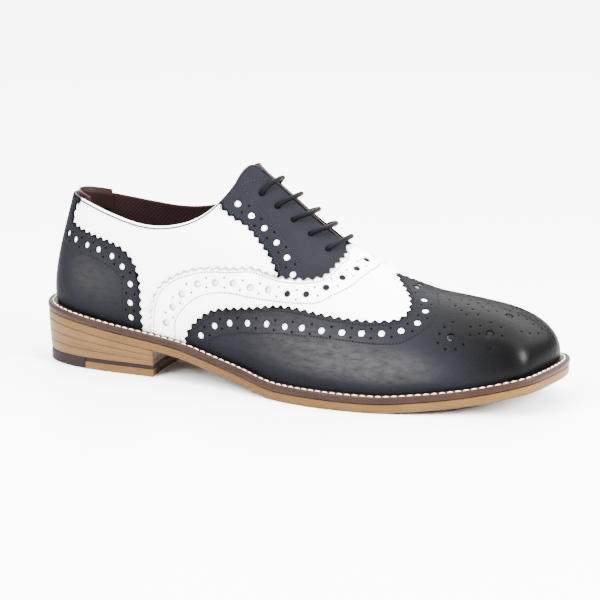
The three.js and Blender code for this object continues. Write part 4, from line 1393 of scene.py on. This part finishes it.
CAP_INNER = [(6.45, 0), (6.47, 0.09), (6.75, 0.165), (7.36, 0.211), (8.22, 0.229), (9.69, 0.26),
             (10.53, 0.299), (11.45, 0.33), (11.97, 0.347), (12.45, 0.371), (12.8, 0.425),
             (13.26, 0.534), (13.56, 0.655), (13.7, 0.785), (13.65, 0.913), (13.6, 1)]
BAND_INNER = [(5.6, 0), (5.65, 0.197), (6, 0.366), (6.46, 0.443), (7.17, 0.439), (8.33, 0.383),
              (9.43, 0.384), (10.11, 0.423), (10.6, 0.477), (10.99, 0.555), (11.57, 0.683),
              (12.05, 0.881), (12.1, 1)]
COUNTER_INNER = [(1.2, 0.6), (1.65, 0.59), (2.35, 0.57), (3, 0.585), (3.55, 0.575), (4, 0.546),
                 (4.25, 0.488), (4.35, 0.388), (4.35, 0.101), (4.35, 0)]
FACING_INNER = [(8.35, 0.857), (8.76, 0.788), (9.24, 0.74), (9.63, 0.689), (9.98, 0.64),
                (10.13, 0.587), (10.25, 0.508)]
FACING_TOP_SEAM = [(7.54, 0.958), (7.98, 0.915), (8.69, 0.887), (9.26, 0.951)]
EYELETS = [(9.2, 0.846), (9.65, 0.836), (10.04, 0.838), (10.43, 0.84), (10.84, 0.823)]
FACING_UNDER = [(9.57, 0.428), (9.62, 0.383), (10.07, 0.393), (10.65, 0.447), (11.23, 0.554),
                (11.76, 0.703), (12.05, 0.871), (12.1, 1)]
VAMP_UNDER = [(12.7, 1), (13, 0.949), (13.5, 0.878), (13.71, 0.75), (13.61, 0.601),
              (13.21, 0.468), (12.6, 0.365), (11.83, 0.313), (10.68, 0.259), (9.69, 0.221),
              (8.59, 0.206), (7.41, 0.186), (6.9, 0.119), (6.7, 0)]
THREAD_DEPTH = 0.17
# Dark dots of painted shade at the needle holes.
NEEDLE_DEPTH = 0.12
NEEDLE_RADIUS = 0.5
PIN_ASIDE = 2.6
PIN_RADIUS = 0.48
HOLE_RADIUS = 1.75
MEDALLION_DOTS = [(13.97, 0.887), (14.32, 0.925), (14.65, 0.965), (14.93, 0.931), (15.49, 0.965),
                  (14.12, 0.817), (14.51, 0.871), (14.99, 0.87), (15.59, 0.921), (16.4, 0.874),
                  (16.45, 0.792), (16.6, 0.717), (16.6, 0.624), (16.8, 0.529), (16.43, 0.481),
                  (16.08, 0.501), (15.78, 0.532), (14.25, 0.764), (14.59, 0.801), (15.1, 0.809),
                  (15.48, 0.829), (14.34, 0.715), (14.66, 0.732), (13.94, 0.617), (13.71, 0.562),
                  (13.54, 0.497), (13.43, 0.419), (13.55, 0.368), (13.78, 0.368), (13.99, 0.409),
                  (14.21, 0.493), (14.31, 0.58), (14.55, 0.596), (14.43, 0.507), (14.9, 0.641),
                  (15.1, 0.586), (14.95, 0.48), (14.51, 0.356)]
MEDALLION_HOLES = [(13.78, 0.474), (14.68, 0.511), (15.9, 0.775)]
MEDALLION_DOT = 0.62
MEDALLION_RADIUS = 2.15
SMALL_HOLE = 1.0
# Dark discs of painted shade under the pinholes.
PINHOLE_SHADE_RADIUS = MEDALLION_DOT + 0.15
PINHOLE_SHADE_RISE = 0.05
BUTTON_RADIUS = 1.5
BUTTON_DEPTH = 0.3
BUTTON_THICKNESS = 0.5


@dataclass
class Brogueing:
    """A row of big holes with a pair of pinholes between each two."""

    holes: Sequence[tuple[float, float]]

    def punches(self) -> tuple[Punch, Punch]:
        """The big holes, and the pinholes beside the middle of each gap."""
        big = np.array(self.holes, dtype=float)
        row = Line(LAST, self.holes)
        knots = np.linspace(0, len(row.spots) - 1, len(big)).astype(int)
        places = row.run[knots]
        middle = 0.5 * (places[1:] + places[:-1])
        pins = np.vstack([row.aside(middle, PIN_ASIDE), row.aside(middle, -PIN_ASIDE)])
        return Punch(big, HOLE_RADIUS, 14), Punch(pins, PIN_RADIUS, 6)


@dataclass
class Overlay:
    """A punched and pinked panel with its seams, dark discs of painted shade in its pinholes, and
    threads.
    """

    name: str
    node: Sequence[str]
    colour: Finish
    thread: Finish
    slot: str
    outline: np.ndarray
    top: float
    bottom: float
    rows: Sequence[Brogueing]
    seams: Sequence[Line]
    sides: Sequence[int] = (-1, 1)
    extra: Sequence[Punch] = ()
    shade: Callable[[np.ndarray, np.ndarray], np.ndarray] = navy_darkening_and_sheen
    # Finish of the needle dots: painted shade at the needle holes.
    needle: Finish = Finish.PIT
    buttons: Sequence[tuple[float, float]] = ()

    def build(self) -> None:
        """Makes the panel, its threads, their needle dots of painted shade and dark discs of painted
        shade in its pinholes.
        """
        punches = [punch for row in self.rows for punch in row.punches()] + list(self.extra)
        panel = Panel(self.outline, self.top, self.bottom, punches, self.seams)
        shape = panel.shape(LAST, self.sides, self.shade)
        shape.make(self.name, finish(self.colour), self.slot, self.node)
        threads = Stitches().sew(LAST, self.seams, self.top + THREAD_DEPTH, self.sides)
        threads.make(self.name + "_stitches", finish(self.thread), self.slot)
        # Needle dots: dark lenses of painted shade where the thread goes in.
        needles = both(needle_spots(self.seams, Stitches.pitch), self.sides)
        dots = discs(LAST, needles, NEEDLE_RADIUS, self.top + NEEDLE_DEPTH, 0.05, 6)
        dots.make(self.name + "_needle_dots", finish(self.needle), self.slot)
        # Dark discs of painted shade under the pinholes.
        pins = [punch for punch in punches if punch.radius < SMALL_HOLE]
        spots = both(np.vstack([punch.spots for punch in pins]), self.sides)
        floors = discs(LAST, spots, PINHOLE_SHADE_RADIUS, self.bottom - PINHOLE_SHADE_RISE)
        floors.make(self.name + "_pinhole_floors", finish(Finish.PIT), self.slot)
        if self.buttons:
            rounds = discs(LAST, both(np.array(self.buttons), self.sides), BUTTON_RADIUS,
                           self.top + BUTTON_DEPTH, BUTTON_THICKNESS, 16)
            count = len(rounds.points)
            rounds.values = {"burnish_and_painted_light": np.full(count, 0.5), "edge": np.zeros(count)}
            rounds.make(self.name + "_rounds", finish(self.colour), self.slot)


def parallel(rows: Sequence[tuple[float, float]], offset: float, start: float = 0.0,
             end: float = 0.0) -> Line:
    """A line beside another one.

    Args:
        rows: station and height pairs of the first line.
        offset: distance across, in millimetres.
        start: length left out at the start.
        end: length left out at the end.

    Returns:
        The line.
    """
    edge = Line(LAST, rows)
    places = np.linspace(start, edge.length - end, 26)
    spots = edge.aside(places, np.full(len(places), offset))
    spots = np.clip(spots, [0, -0.01], [TOE, 1.0])
    return Line(LAST, [tuple(spot) for spot in spots])


SEAM_INSET = 2.3


def wing_cap() -> Overlay:
    """The navy toe cap: pinked edge to the peak, the ridge, the toe line, and back by the welt."""
    edge = Line(LAST, CAP_ROWS)
    rear = (CAP_ROWS[0][0], FOOT)
    outline = np.vstack([pinked(edge)[:-1], run(CAP_ROWS[-1], (TOE, 1)),
                         run((TOE, 1), (TOE, FOOT)), run((TOE, FOOT), rear), [rear]])
    seams = [parallel(CAP_ROWS, -SEAM_INSET), Line(LAST, CAP_INNER)]
    medallion = (Punch(np.array(MEDALLION_DOTS), MEDALLION_DOT, 6),
                 Punch(np.array(MEDALLION_HOLES), MEDALLION_RADIUS, 16))
    return Overlay("wing_cap_leather", ["wing_cap"], Finish.NAVY, Finish.NAVY_THREAD,
                   "navy_leather", outline, top=-0.5, bottom=0.12, rows=[Brogueing(CAP_HOLES)],
                   seams=seams, extra=medallion, buttons=MEDALLION_HOLES)


def vamp() -> Overlay:
    """The white vamp: pinked edge up to the throat, and on under the wing cap."""
    edge = Line(LAST, VAMP_ROWS)
    under = Line(LAST, VAMP_UNDER)
    front, rear = (VAMP_UNDER[-1][0], FOOT), (VAMP_ROWS[0][0], FOOT)
    outline = np.vstack([pinked(edge, plain=7.0)[:-1], run(VAMP_ROWS[-1], VAMP_UNDER[0]),
                         under.at(under.spaced(2.0))[:-1], run(VAMP_UNDER[-1], front),
                         run(front, rear), [rear]])
    seams = [parallel(VAMP_ROWS, -SEAM_INSET), Line(LAST, BAND_INNER)]
    return Overlay("vamp_leather", ["vamp"], Finish.WHITE, Finish.WHITE_THREAD, "white_leather",
                   outline, top=0.15, bottom=1.3, rows=[Brogueing(BAND_HOLES)], seams=seams,
                   shade=plain_shade, needle=Finish.NEEDLE)


def facing(side: int, node: str) -> Overlay:
    """One navy facing: pinked back edge, and on under the vamp to the throat's end."""
    edge = Line(LAST, FACING_ROWS)
    under = Line(LAST, FACING_UNDER)
    outline = np.vstack([pinked(edge)[:-1], under.at(under.spaced(2.0))[:-1],
                         run(FACING_UNDER[-1], FACING_ROWS[0])])
    eyelets = Punch(np.array(EYELETS), 1.5, 12)
    seams = [parallel(FACING_ROWS, SEAM_INSET, 1.0), Line(LAST, FACING_INNER),
             Line(LAST, FACING_TOP_SEAM)]
    return Overlay(node + "_leather", [node], Finish.NAVY, Finish.GREY_THREAD, "navy_leather",
                   outline, top=0.72, bottom=1.33, rows=[Brogueing(FACING_HOLES)], seams=seams,
                   sides=(side,), extra=(eyelets,))


def counter() -> Overlay:
    """The navy counter: strip up the back seam, pinked edge over the heel and down its front."""
    edge = Line(LAST, COUNTER_ROWS)
    front = (COUNTER_ROWS[-1][0], FOOT)
    outline = np.vstack([pinked(edge)[:-1], run(COUNTER_ROWS[-1], front), run(front, (0, FOOT)),
                         run((0, FOOT), (0, 1)), run((0, 1), COUNTER_ROWS[0])])
    seams = [parallel(COUNTER_ROWS, -SEAM_INSET), Line(LAST, COUNTER_INNER)]
    return Overlay("counter_leather", ["counter"], Finish.NAVY, Finish.NAVY_THREAD,
                   "navy_leather", outline, top=0.5, bottom=1.33,
                   rows=[Brogueing(COUNTER_HOLES)], seams=seams)


@dataclass
class SoleUnit:
    """Welt, outsole and stacked heel: rounded profiles carried round the sole's edge."""

    welt_band: float = 13.0
    stitch_inset: float = 2.9
    stitch_pitch: float = 4.1
    step: float = 0.05
    inset: float = 0.4
    breast: float = 5.13
    hollow: float = 4.0
    taper: float = 1.2
    lifts: int = 3
    tip: float = 4.0
    rand: float = 1.6
    rubber: float = 3.3

    def ring(self, profile_inset: np.ndarray, profile_level: np.ndarray, top: Callable,
             bottom: Callable) -> Shape:
        """A closed profile carried round the whole edge.

        Args:
            profile_inset: distance inwards of each profile point.
            profile_level: its share of the way from bottom to top.
            top: height of the upper face over x.
            bottom: height of the lower face over x.

        Returns:
            The ring, with rise, join and lap at its points.
        """
        around = np.arange(0, ROUND, self.step)
        grid_u, inset = np.meshgrid(around, profile_inset, indexing="ij")
        level = np.broadcast_to(profile_level, grid_u.shape)
        plan, _ = SOLE.edge(grid_u, inset)
        x = plan[..., 0]
        z = lerp(bottom(x), top(x), level)
        points = np.concatenate([plan, z[..., None]], axis=-1)
        values = {"rise": level.ravel(), "join": np.zeros(level.size), "lap": np.zeros(level.size)}
        return Shape(points.reshape(-1, 3), loop_faces(len(around), len(profile_inset)), values)

    def slab(self, start: float, end: float, insets: np.ndarray, levels: np.ndarray,
             top: Callable, bottom: Callable, bow: float, lap: float, cells: int = 16) -> Shape:
        """A layer filled from side to side: at each profile level, rows across the sole.

        Its wall follows the profile; its upper and lower faces are rows from the outer to the inner
        edge. The front rows bow back at the middle, for the hollow of the heel's breast.

        Args:
            start: first station.
            end: last station.
            insets: distance inwards at each level.
            levels: shares of the way from bottom to top, rising.
            top: height of the upper face over x.
            bottom: height of the lower face over x.
            bow: depth of the hollow.
            lap: number that sets this layer's streaks.
            cells: cells across.

        Returns:
            The closed layer.
        """
        rows = max(int((end - start) / self.step / 1.6), 12)
        station = np.linspace(start, end, rows)
        share = 0.5 - 0.5 * np.cos(np.linspace(0, math.pi, cells + 1))
        layers = []
        for inset, level in zip(insets, levels):
            low, _ = SOLE.edge(station, np.full(rows, inset))
            high, _ = SOLE.edge(ROUND - station, np.full(rows, inset))
            plan = lerp(low[:, None], high[:, None], share[None, :, None])
            curve = (1 - (2 * share[None] - 1) ** 2) * np.linspace(0, 1, rows)[:, None] ** 3
            plan = plan - np.stack([bow * curve, 0 * curve], axis=-1)
            x = plan[..., 0]
            z = lerp(bottom(x), top(x), level)
            layers.append(np.concatenate([plan, z[..., None]], axis=-1))
        block = np.stack(layers)
        size = rows * (cells + 1)
        cap = grid_faces(rows, cells + 1)
        border = np.concatenate([np.arange(rows) * (cells + 1),
                                 (rows - 1) * (cells + 1) + np.arange(1, cells + 1),
                                 np.arange(rows - 2, -1, -1) * (cells + 1) + cells,
                                 np.arange(cells - 1, 0, -1)])
        after = np.roll(border, -1)
        walls = [np.stack([border, after, after + size, border + size], axis=1) + k * size
                 for k in range(len(levels) - 1)]
        faces = np.vstack([cap[:, ::-1], cap + (len(levels) - 1) * size] + walls)
        rise = np.repeat(np.asarray(levels, dtype=float), size)
        join = np.clip(1.0 - np.minimum(rise, 1.0 - rise) / 0.1, 0, 1)
        values = {"rise": rise, "join": join, "lap": np.full(len(rise), lap)}
        return Shape(block.reshape(-1, 3), faces, values).welded()

    def bulge(self, inset: float, round_off: float,
              levels: int = 9) -> tuple[np.ndarray, np.ndarray]:
        """Insets and levels of a wall with rounded arrises: a quarter circle at each end."""
        share = np.linspace(0, 1, levels)
        level = 0.5 - 0.5 * np.cos(math.pi * share)
        edge = np.clip(1.0 - np.minimum(level, 1.0 - level) / 0.22, 0, 1)
        return inset + round_off * (1.0 - np.sqrt(np.clip(1.0 - edge**2, 0, 1))), level

    def build_welt(self) -> None:
        """The welt's flat band with a rounded outer edge, and its row of stitches."""
        turn = np.linspace(-math.pi / 2, math.pi / 2, 9)
        inset = np.concatenate([[self.welt_band], 0.75 - 0.75 * np.cos(turn),
                                [1.6, 2.2, self.stitch_inset, 3.6, 4.4, self.welt_band]])
        level = np.concatenate([[0.0], 0.5 + 0.5 * np.sin(turn),
                                [1.0, 0.97, 0.86, 0.97, 1.0, 1.0]])
        shape = self.ring(inset, level, SOLE.welt_top, SOLE.welt_bottom)
        shape.make("welt_leather", finish(Finish.WELT), "welt_leather", ["welt"], crease=50)
        fine = np.arange(0, ROUND, 0.01)
        plan, _ = SOLE.edge(fine, np.full(len(fine), self.stitch_inset))
        path = np.column_stack([plan, SOLE.welt_top(plan[:, 0])])
        run_length = np.concatenate([[0], np.cumsum(np.linalg.norm(np.diff(path, axis=0), axis=1))])
        count = int(run_length[-1] / self.stitch_pitch)
        middle = (np.arange(count) + 0.5) * run_length[-1] / count
        here, ahead = (np.stack([np.interp(at, run_length, path[:, k]) for k in range(3)], axis=1)
                       for at in (middle, middle + 0.4))
        way = unit(ahead - here)
        side = unit(np.cross(way, np.array([0.0, 0.0, 1.0])))
        out = np.cross(side, way)
        threads = Stitches(self.stitch_pitch, length=self.stitch_pitch * 0.74, radius=0.36,
                           bow=0.25, sides=7, rings=7)
        shape = threads.along(here - out * 0.25, way, out)
        shape.make("welt_stitches", finish(Finish.WELT_THREAD), "welt_leather")

    def build_outsole(self) -> None:
        """The leather outsole, from the heel seat to the toe."""
        insets, levels = self.bulge(self.inset, 0.7)
        shape = self.slab(0, TOE, insets, levels, lambda x: SOLE.underside(x) + SOLE.outsole,
                          SOLE.underside, 0.0, 4.0)
        shape.make("outsole_leather", finish(Finish.SOLE), "sole_leather", ["outsole"], crease=50)

    def build_heel(self) -> None:
        """Three wedge lifts, then the rand, the leather tip and the rubber tip on the ground."""
        low = self.tip + self.rand + 2 * SOLE.fit
        for k in range(self.lifts):
            insets, levels = self.bulge(0.0, 0.22)
            insets = insets + self.inset + self.taper * (1 - (k + levels) / self.lifts)
            bottom, top = k / self.lifts, (k + 1) / self.lifts
            shape = self.slab(0, self.breast, insets, levels,
                              lambda x, s=top: lerp(low, SOLE.underside(x), s) - 0.06,
                              lambda x, s=bottom: lerp(low, SOLE.underside(x), s) + 0.06,
                              self.hollow, float(k))
            shape.make(f"heel_lift_leather_{k + 1}", finish(Finish.STACK), "heel_leather",
                       [f"heel_lift_{k + 1}"], crease=50)
        foot = self.inset + self.taper
        insets, levels = self.bulge(foot, 0.2)
        parts = [("heel_rand_layer", "heel_rand", self.rubber + 0.03, self.breast, self.hollow,
                  self.tip + SOLE.fit - 0.1, low - 0.1, Finish.RUBBER, "heel_rubber"),
                 ("heel_tip_leather_layer", "heel_tip_leather", self.rubber + 0.02, self.breast,
                  self.hollow, 0.0, self.tip + 0.1, Finish.STACK, "heel_leather"),
                 ("heel_tip_rubber_layer", "heel_tip_rubber", 0.0, self.rubber, 0.0, 0.0,
                  low - 0.1, Finish.RUBBER, "heel_rubber")]
        for name, node, start, end, bow, bottom, top, choice, slot in parts:
            shape = self.slab(start, end, insets, levels, lambda x, z=top: z + 0 * x,
                              lambda x, z=bottom: z + 0 * x, bow, 7.0)
            shape.make(name, finish(choice), slot, [node], crease=50)

    def build(self) -> None:
        """Makes the whole bottom of the shoe."""
        self.build_welt()
        self.build_outsole()
        self.build_heel()


@dataclass
class Inside:
    """What lies within the upper: sock, tongue and the binding at the heel."""

    lining: float = 3.7
    tongue_depth: float = 4.5
    tongue_thickness: float = 1.6
    tongue_top: float = 9.05
    tongue_foot: float = 12.2
    tongue_reach: float = 0.24
    tab_station: float = 2.3
    tab_drop: float = 9.0
    tab_rise: float = 3.0
    tab_thickness: float = 1.0

    def pad(self, outer: np.ndarray, inner: np.ndarray, values: dict[str, np.ndarray]) -> Shape:
        """A closed sheet between two grids of points, with a strip round its free edges."""
        columns, rows = outer.shape[:2]
        faces = grid_faces(columns, rows)
        points = np.vstack([outer.reshape(-1, 3), inner.reshape(-1, 3)])
        return Shape(points, solid_faces(faces, rim_edges(faces), columns * rows), values)

    def build_sock(self) -> None:
        """The sock over the foot bed, from side to side."""
        unit_sole = SoleUnit()
        inset = LAST.fore_margin + self.lining + 2 * SOLE.fit
        shape = unit_sole.slab(0, TOE, np.array([inset, inset - 0.2, inset]),
                               np.array([0.0, 0.6, 1.0]), lambda x: SOLE.welt_top(x) + 2.3,
                               lambda x: SOLE.welt_top(x) + 0.3, 0.0, 0.0)
        shape.values = {}
        shape.make("sock", finish(Finish.SOCK), "lining", ["insole"])

    def build_tongue(self) -> None:
        """The tongue: the upper's own face moved under the lining, on both sides of the gap."""
        station = np.linspace(self.tongue_top, self.tongue_foot, 48)
        level = np.linspace(1 - self.tongue_reach, 1, 12)
        around = np.concatenate([np.tile(station[:, None], (1, 12)),
                                 ROUND - np.tile(station[:, None], (1, 11))], axis=1)
        height = np.concatenate([level, level[-2::-1]])[None] + 0 * around
        edge = np.minimum(np.linspace(0, 1, 48), np.linspace(1, 0, 48))[:, None]
        thin = np.clip(edge * 12, 0.25, 1.0) * np.clip(
            np.minimum(np.arange(23), np.arange(22, -1, -1)) / 2.0 + 0.3, 0.25, 1.0)
        outer = LAST.point(around, height, self.tongue_depth + 0.5 * (1 - thin))
        inner = LAST.point(around, height, self.tongue_depth + self.tongue_thickness
                           - 0.5 * (1 - thin))
        zero = np.zeros(2 * around.size)
        shape = self.pad(outer, inner, {"burnish_and_painted_light": zero, "edge": zero})
        shape.make("tongue_leather", finish(Finish.NAVY), "navy_leather", ["tongue"], crease=60)

    def build_tab(self) -> None:
        """The binding inside the back of the collar: down the lining, and up past the rim."""
        along = np.linspace(-self.tab_station, self.tab_station, 61)
        around = np.mod(-along, ROUND)[::-1]
        low = 1 - self.tab_drop / LAST.collar_rise
        level = np.concatenate([np.linspace(low, 1, 10), np.ones(5)])
        lift = np.concatenate([np.zeros(10), np.linspace(0, self.tab_rise, 6)[1:]])
        grid_u, grid_h = np.meshgrid(around, level, indexing="ij")
        fade = np.clip(1.0 - lift / self.tab_rise * 0.25, 0, 1)[None, :]
        rise = np.stack([0 * lift, 0 * lift, lift], axis=-1)[None]
        depth = self.lining + 0.06
        start = LAST.point(grid_u, grid_h, np.full(grid_u.shape, depth)) + rise
        end = LAST.point(grid_u, grid_h, depth + self.tab_thickness * fade + 0 * grid_u) + rise
        zero = np.zeros(2 * grid_u.size)
        shape = self.pad(start, end, {"burnish_and_painted_light": zero, "edge": zero})
        shape.make("heel_tab_binding", finish(Finish.TAB), "lining", ["heel_tab"], crease=60)

    def build(self) -> None:
        """Makes all of them."""
        self.build_sock()
        self.build_tongue()
        self.build_tab()


@dataclass
class Laces:
    """Five bars of a round lace that come up through one eyelet and go down through the other."""

    diameter: float = 2.6
    lead: float = 0.28
    flank_lead: float = 0.6
    crest: float = 0.97
    crest_lift: float = 1.1
    flank_lift: float = 0.3
    dive: float = 3.4
    sides: int = 14

    def path(self, station: float, height: float) -> np.ndarray:
        """Points of one bar: a curve through the eyelets, the flanks and the crest."""
        lift = -(self.diameter / 2 + 0.1)
        middle = 0.5 * (height + self.crest)
        near = [(0.0, height, -1, self.dive), (0.03, height + 0.006, -1, 0.5),
                (self.flank_lead, middle, -1, lift - self.flank_lift),
                (1.0, self.crest, -1, lift - self.crest_lift)]
        table = np.array(near + [(lead, level, 1, depth) for lead, level, _, depth in near[::-1]])
        at = station + self.lead * table[:, 0]
        around = np.where(table[:, 2] < 0, at, ROUND - at)
        knots = LAST.point(around, table[:, 1], table[:, 3])
        steps = np.sqrt(np.linalg.norm(np.diff(knots, axis=0), axis=1))
        curve = CubicCurve(np.concatenate([[0], np.cumsum(steps)]), knots)
        return curve(np.linspace(0, curve.knots[-1], 90))

    def build(self) -> None:
        """A circle carried along each bar, with its length and turn kept for the weave."""
        for number, (station, height) in enumerate(EYELETS):
            path = self.path(station, height)
            way = unit(np.gradient(path, axis=0))
            side = unit(np.cross(way, np.array([1.0, 0.0, 0.3])))
            points = path[:, None] + circles(side, np.cross(side, way), self.sides,
                                             self.diameter / 2)
            steps = np.linalg.norm(np.diff(path, axis=0), axis=1)
            length = np.concatenate([[0], np.cumsum(steps)])
            values = {"length": np.repeat(length, self.sides),
                      "turn": np.tile(round_angles(self.sides), len(path))}
            shape = Shape(points.reshape(-1, 3), tube_faces(len(path), self.sides, flip=False),
                          values)
            shape.make(f"lace_cord_{number + 1}", finish(Finish.CORD), "waxed_cotton",
                       [f"lace_bar_{number + 1}"], crease=60)


@dataclass
class Studio:
    """Pale floor, soft lights and the photograph's viewpoint."""

    azimuth: float = 23.62
    elevation: float = 12.86
    distance: float = 1300.0
    lens: float = 145.06
    target: tuple[float, float, float] = (149.73, 0.0, 41.89)

    def light(self, name: str, place: tuple[float, float, float], size: float,
              power: float) -> None:
        """A square soft light that looks at the shoe."""
        data = bpy.data.lights.new(name, "AREA")
        data.shape = "SQUARE"
        data.size = size
        data.energy = power
        lamp = bpy.data.objects.new(name, data)
        lamp.location = place
        way = Vector((0.0, 0.0, 0.05)) - lamp.location
        lamp.rotation_euler = way.to_track_quat("-Z", "Y").to_euler()
        bpy.context.collection.objects.link(lamp)

    def build(self) -> None:
        """Camera, floor, world and lights."""
        azimuth, elevation = math.radians(self.azimuth), math.radians(self.elevation)
        back = np.array([math.sin(azimuth) * math.cos(elevation),
                         -math.cos(azimuth) * math.cos(elevation), math.sin(elevation)])
        target = np.array(self.target) + SHIFT
        data = bpy.data.cameras.new("camera")
        data.lens = self.lens
        data.sensor_width = 36.0
        data.clip_end = 20.0
        camera = bpy.data.objects.new("camera", data)
        camera.location = (target + back * self.distance) * MM
        camera.rotation_euler = Vector(-back).to_track_quat("-Z", "Y").to_euler()
        bpy.context.collection.objects.link(camera)
        bpy.context.scene.camera = camera
        floor_mesh = bpy.data.meshes.new("floor")
        side = np.array([[-6, -6, 0], [6, -6, 0], [6, 6, 0], [-6, 6, 0]], dtype=float)
        floor_mesh.from_pydata(side.tolist(), [], [(0, 1, 2, 3)])
        floor = bpy.data.objects.new("floor", floor_mesh)
        bpy.context.collection.objects.link(floor)
        recipe = Recipe("pale_floor")
        floor_mesh.materials.append(recipe.dress(base_color=(0.93, 0.93, 0.93), roughness=0.35))
        world = bpy.data.worlds.new("studio")
        world.use_nodes = True
        world.node_tree.nodes["Background"].inputs["Color"].default_value = (1, 1, 1, 1)
        world.node_tree.nodes["Background"].inputs["Strength"].default_value = 1.15
        bpy.context.scene.world = world
        self.light("key", (-0.7, -1.3, 1.3), 1.2, 158.0)
        self.light("front", (1.58, -0.40, 0.90), 0.7, 230.0)
        self.light("top", (0.0, 1.6, 3.5), 7.0, 2100.0)


def main() -> None:
    """Dresses the shoe in the order a maker builds it, then sets the studio."""
    logging.basicConfig(level=logging.INFO, format="%(message)s")
    Studio().build()
    Quarter().build()
    for overlay in (counter(), facing(-1, "facing_lateral"), facing(1, "facing_medial"), vamp(),
                    wing_cap()):
        overlay.build()
    Inside().build()
    SoleUnit().build()
    Laces().build()


if __name__ == "__main__":
    main()
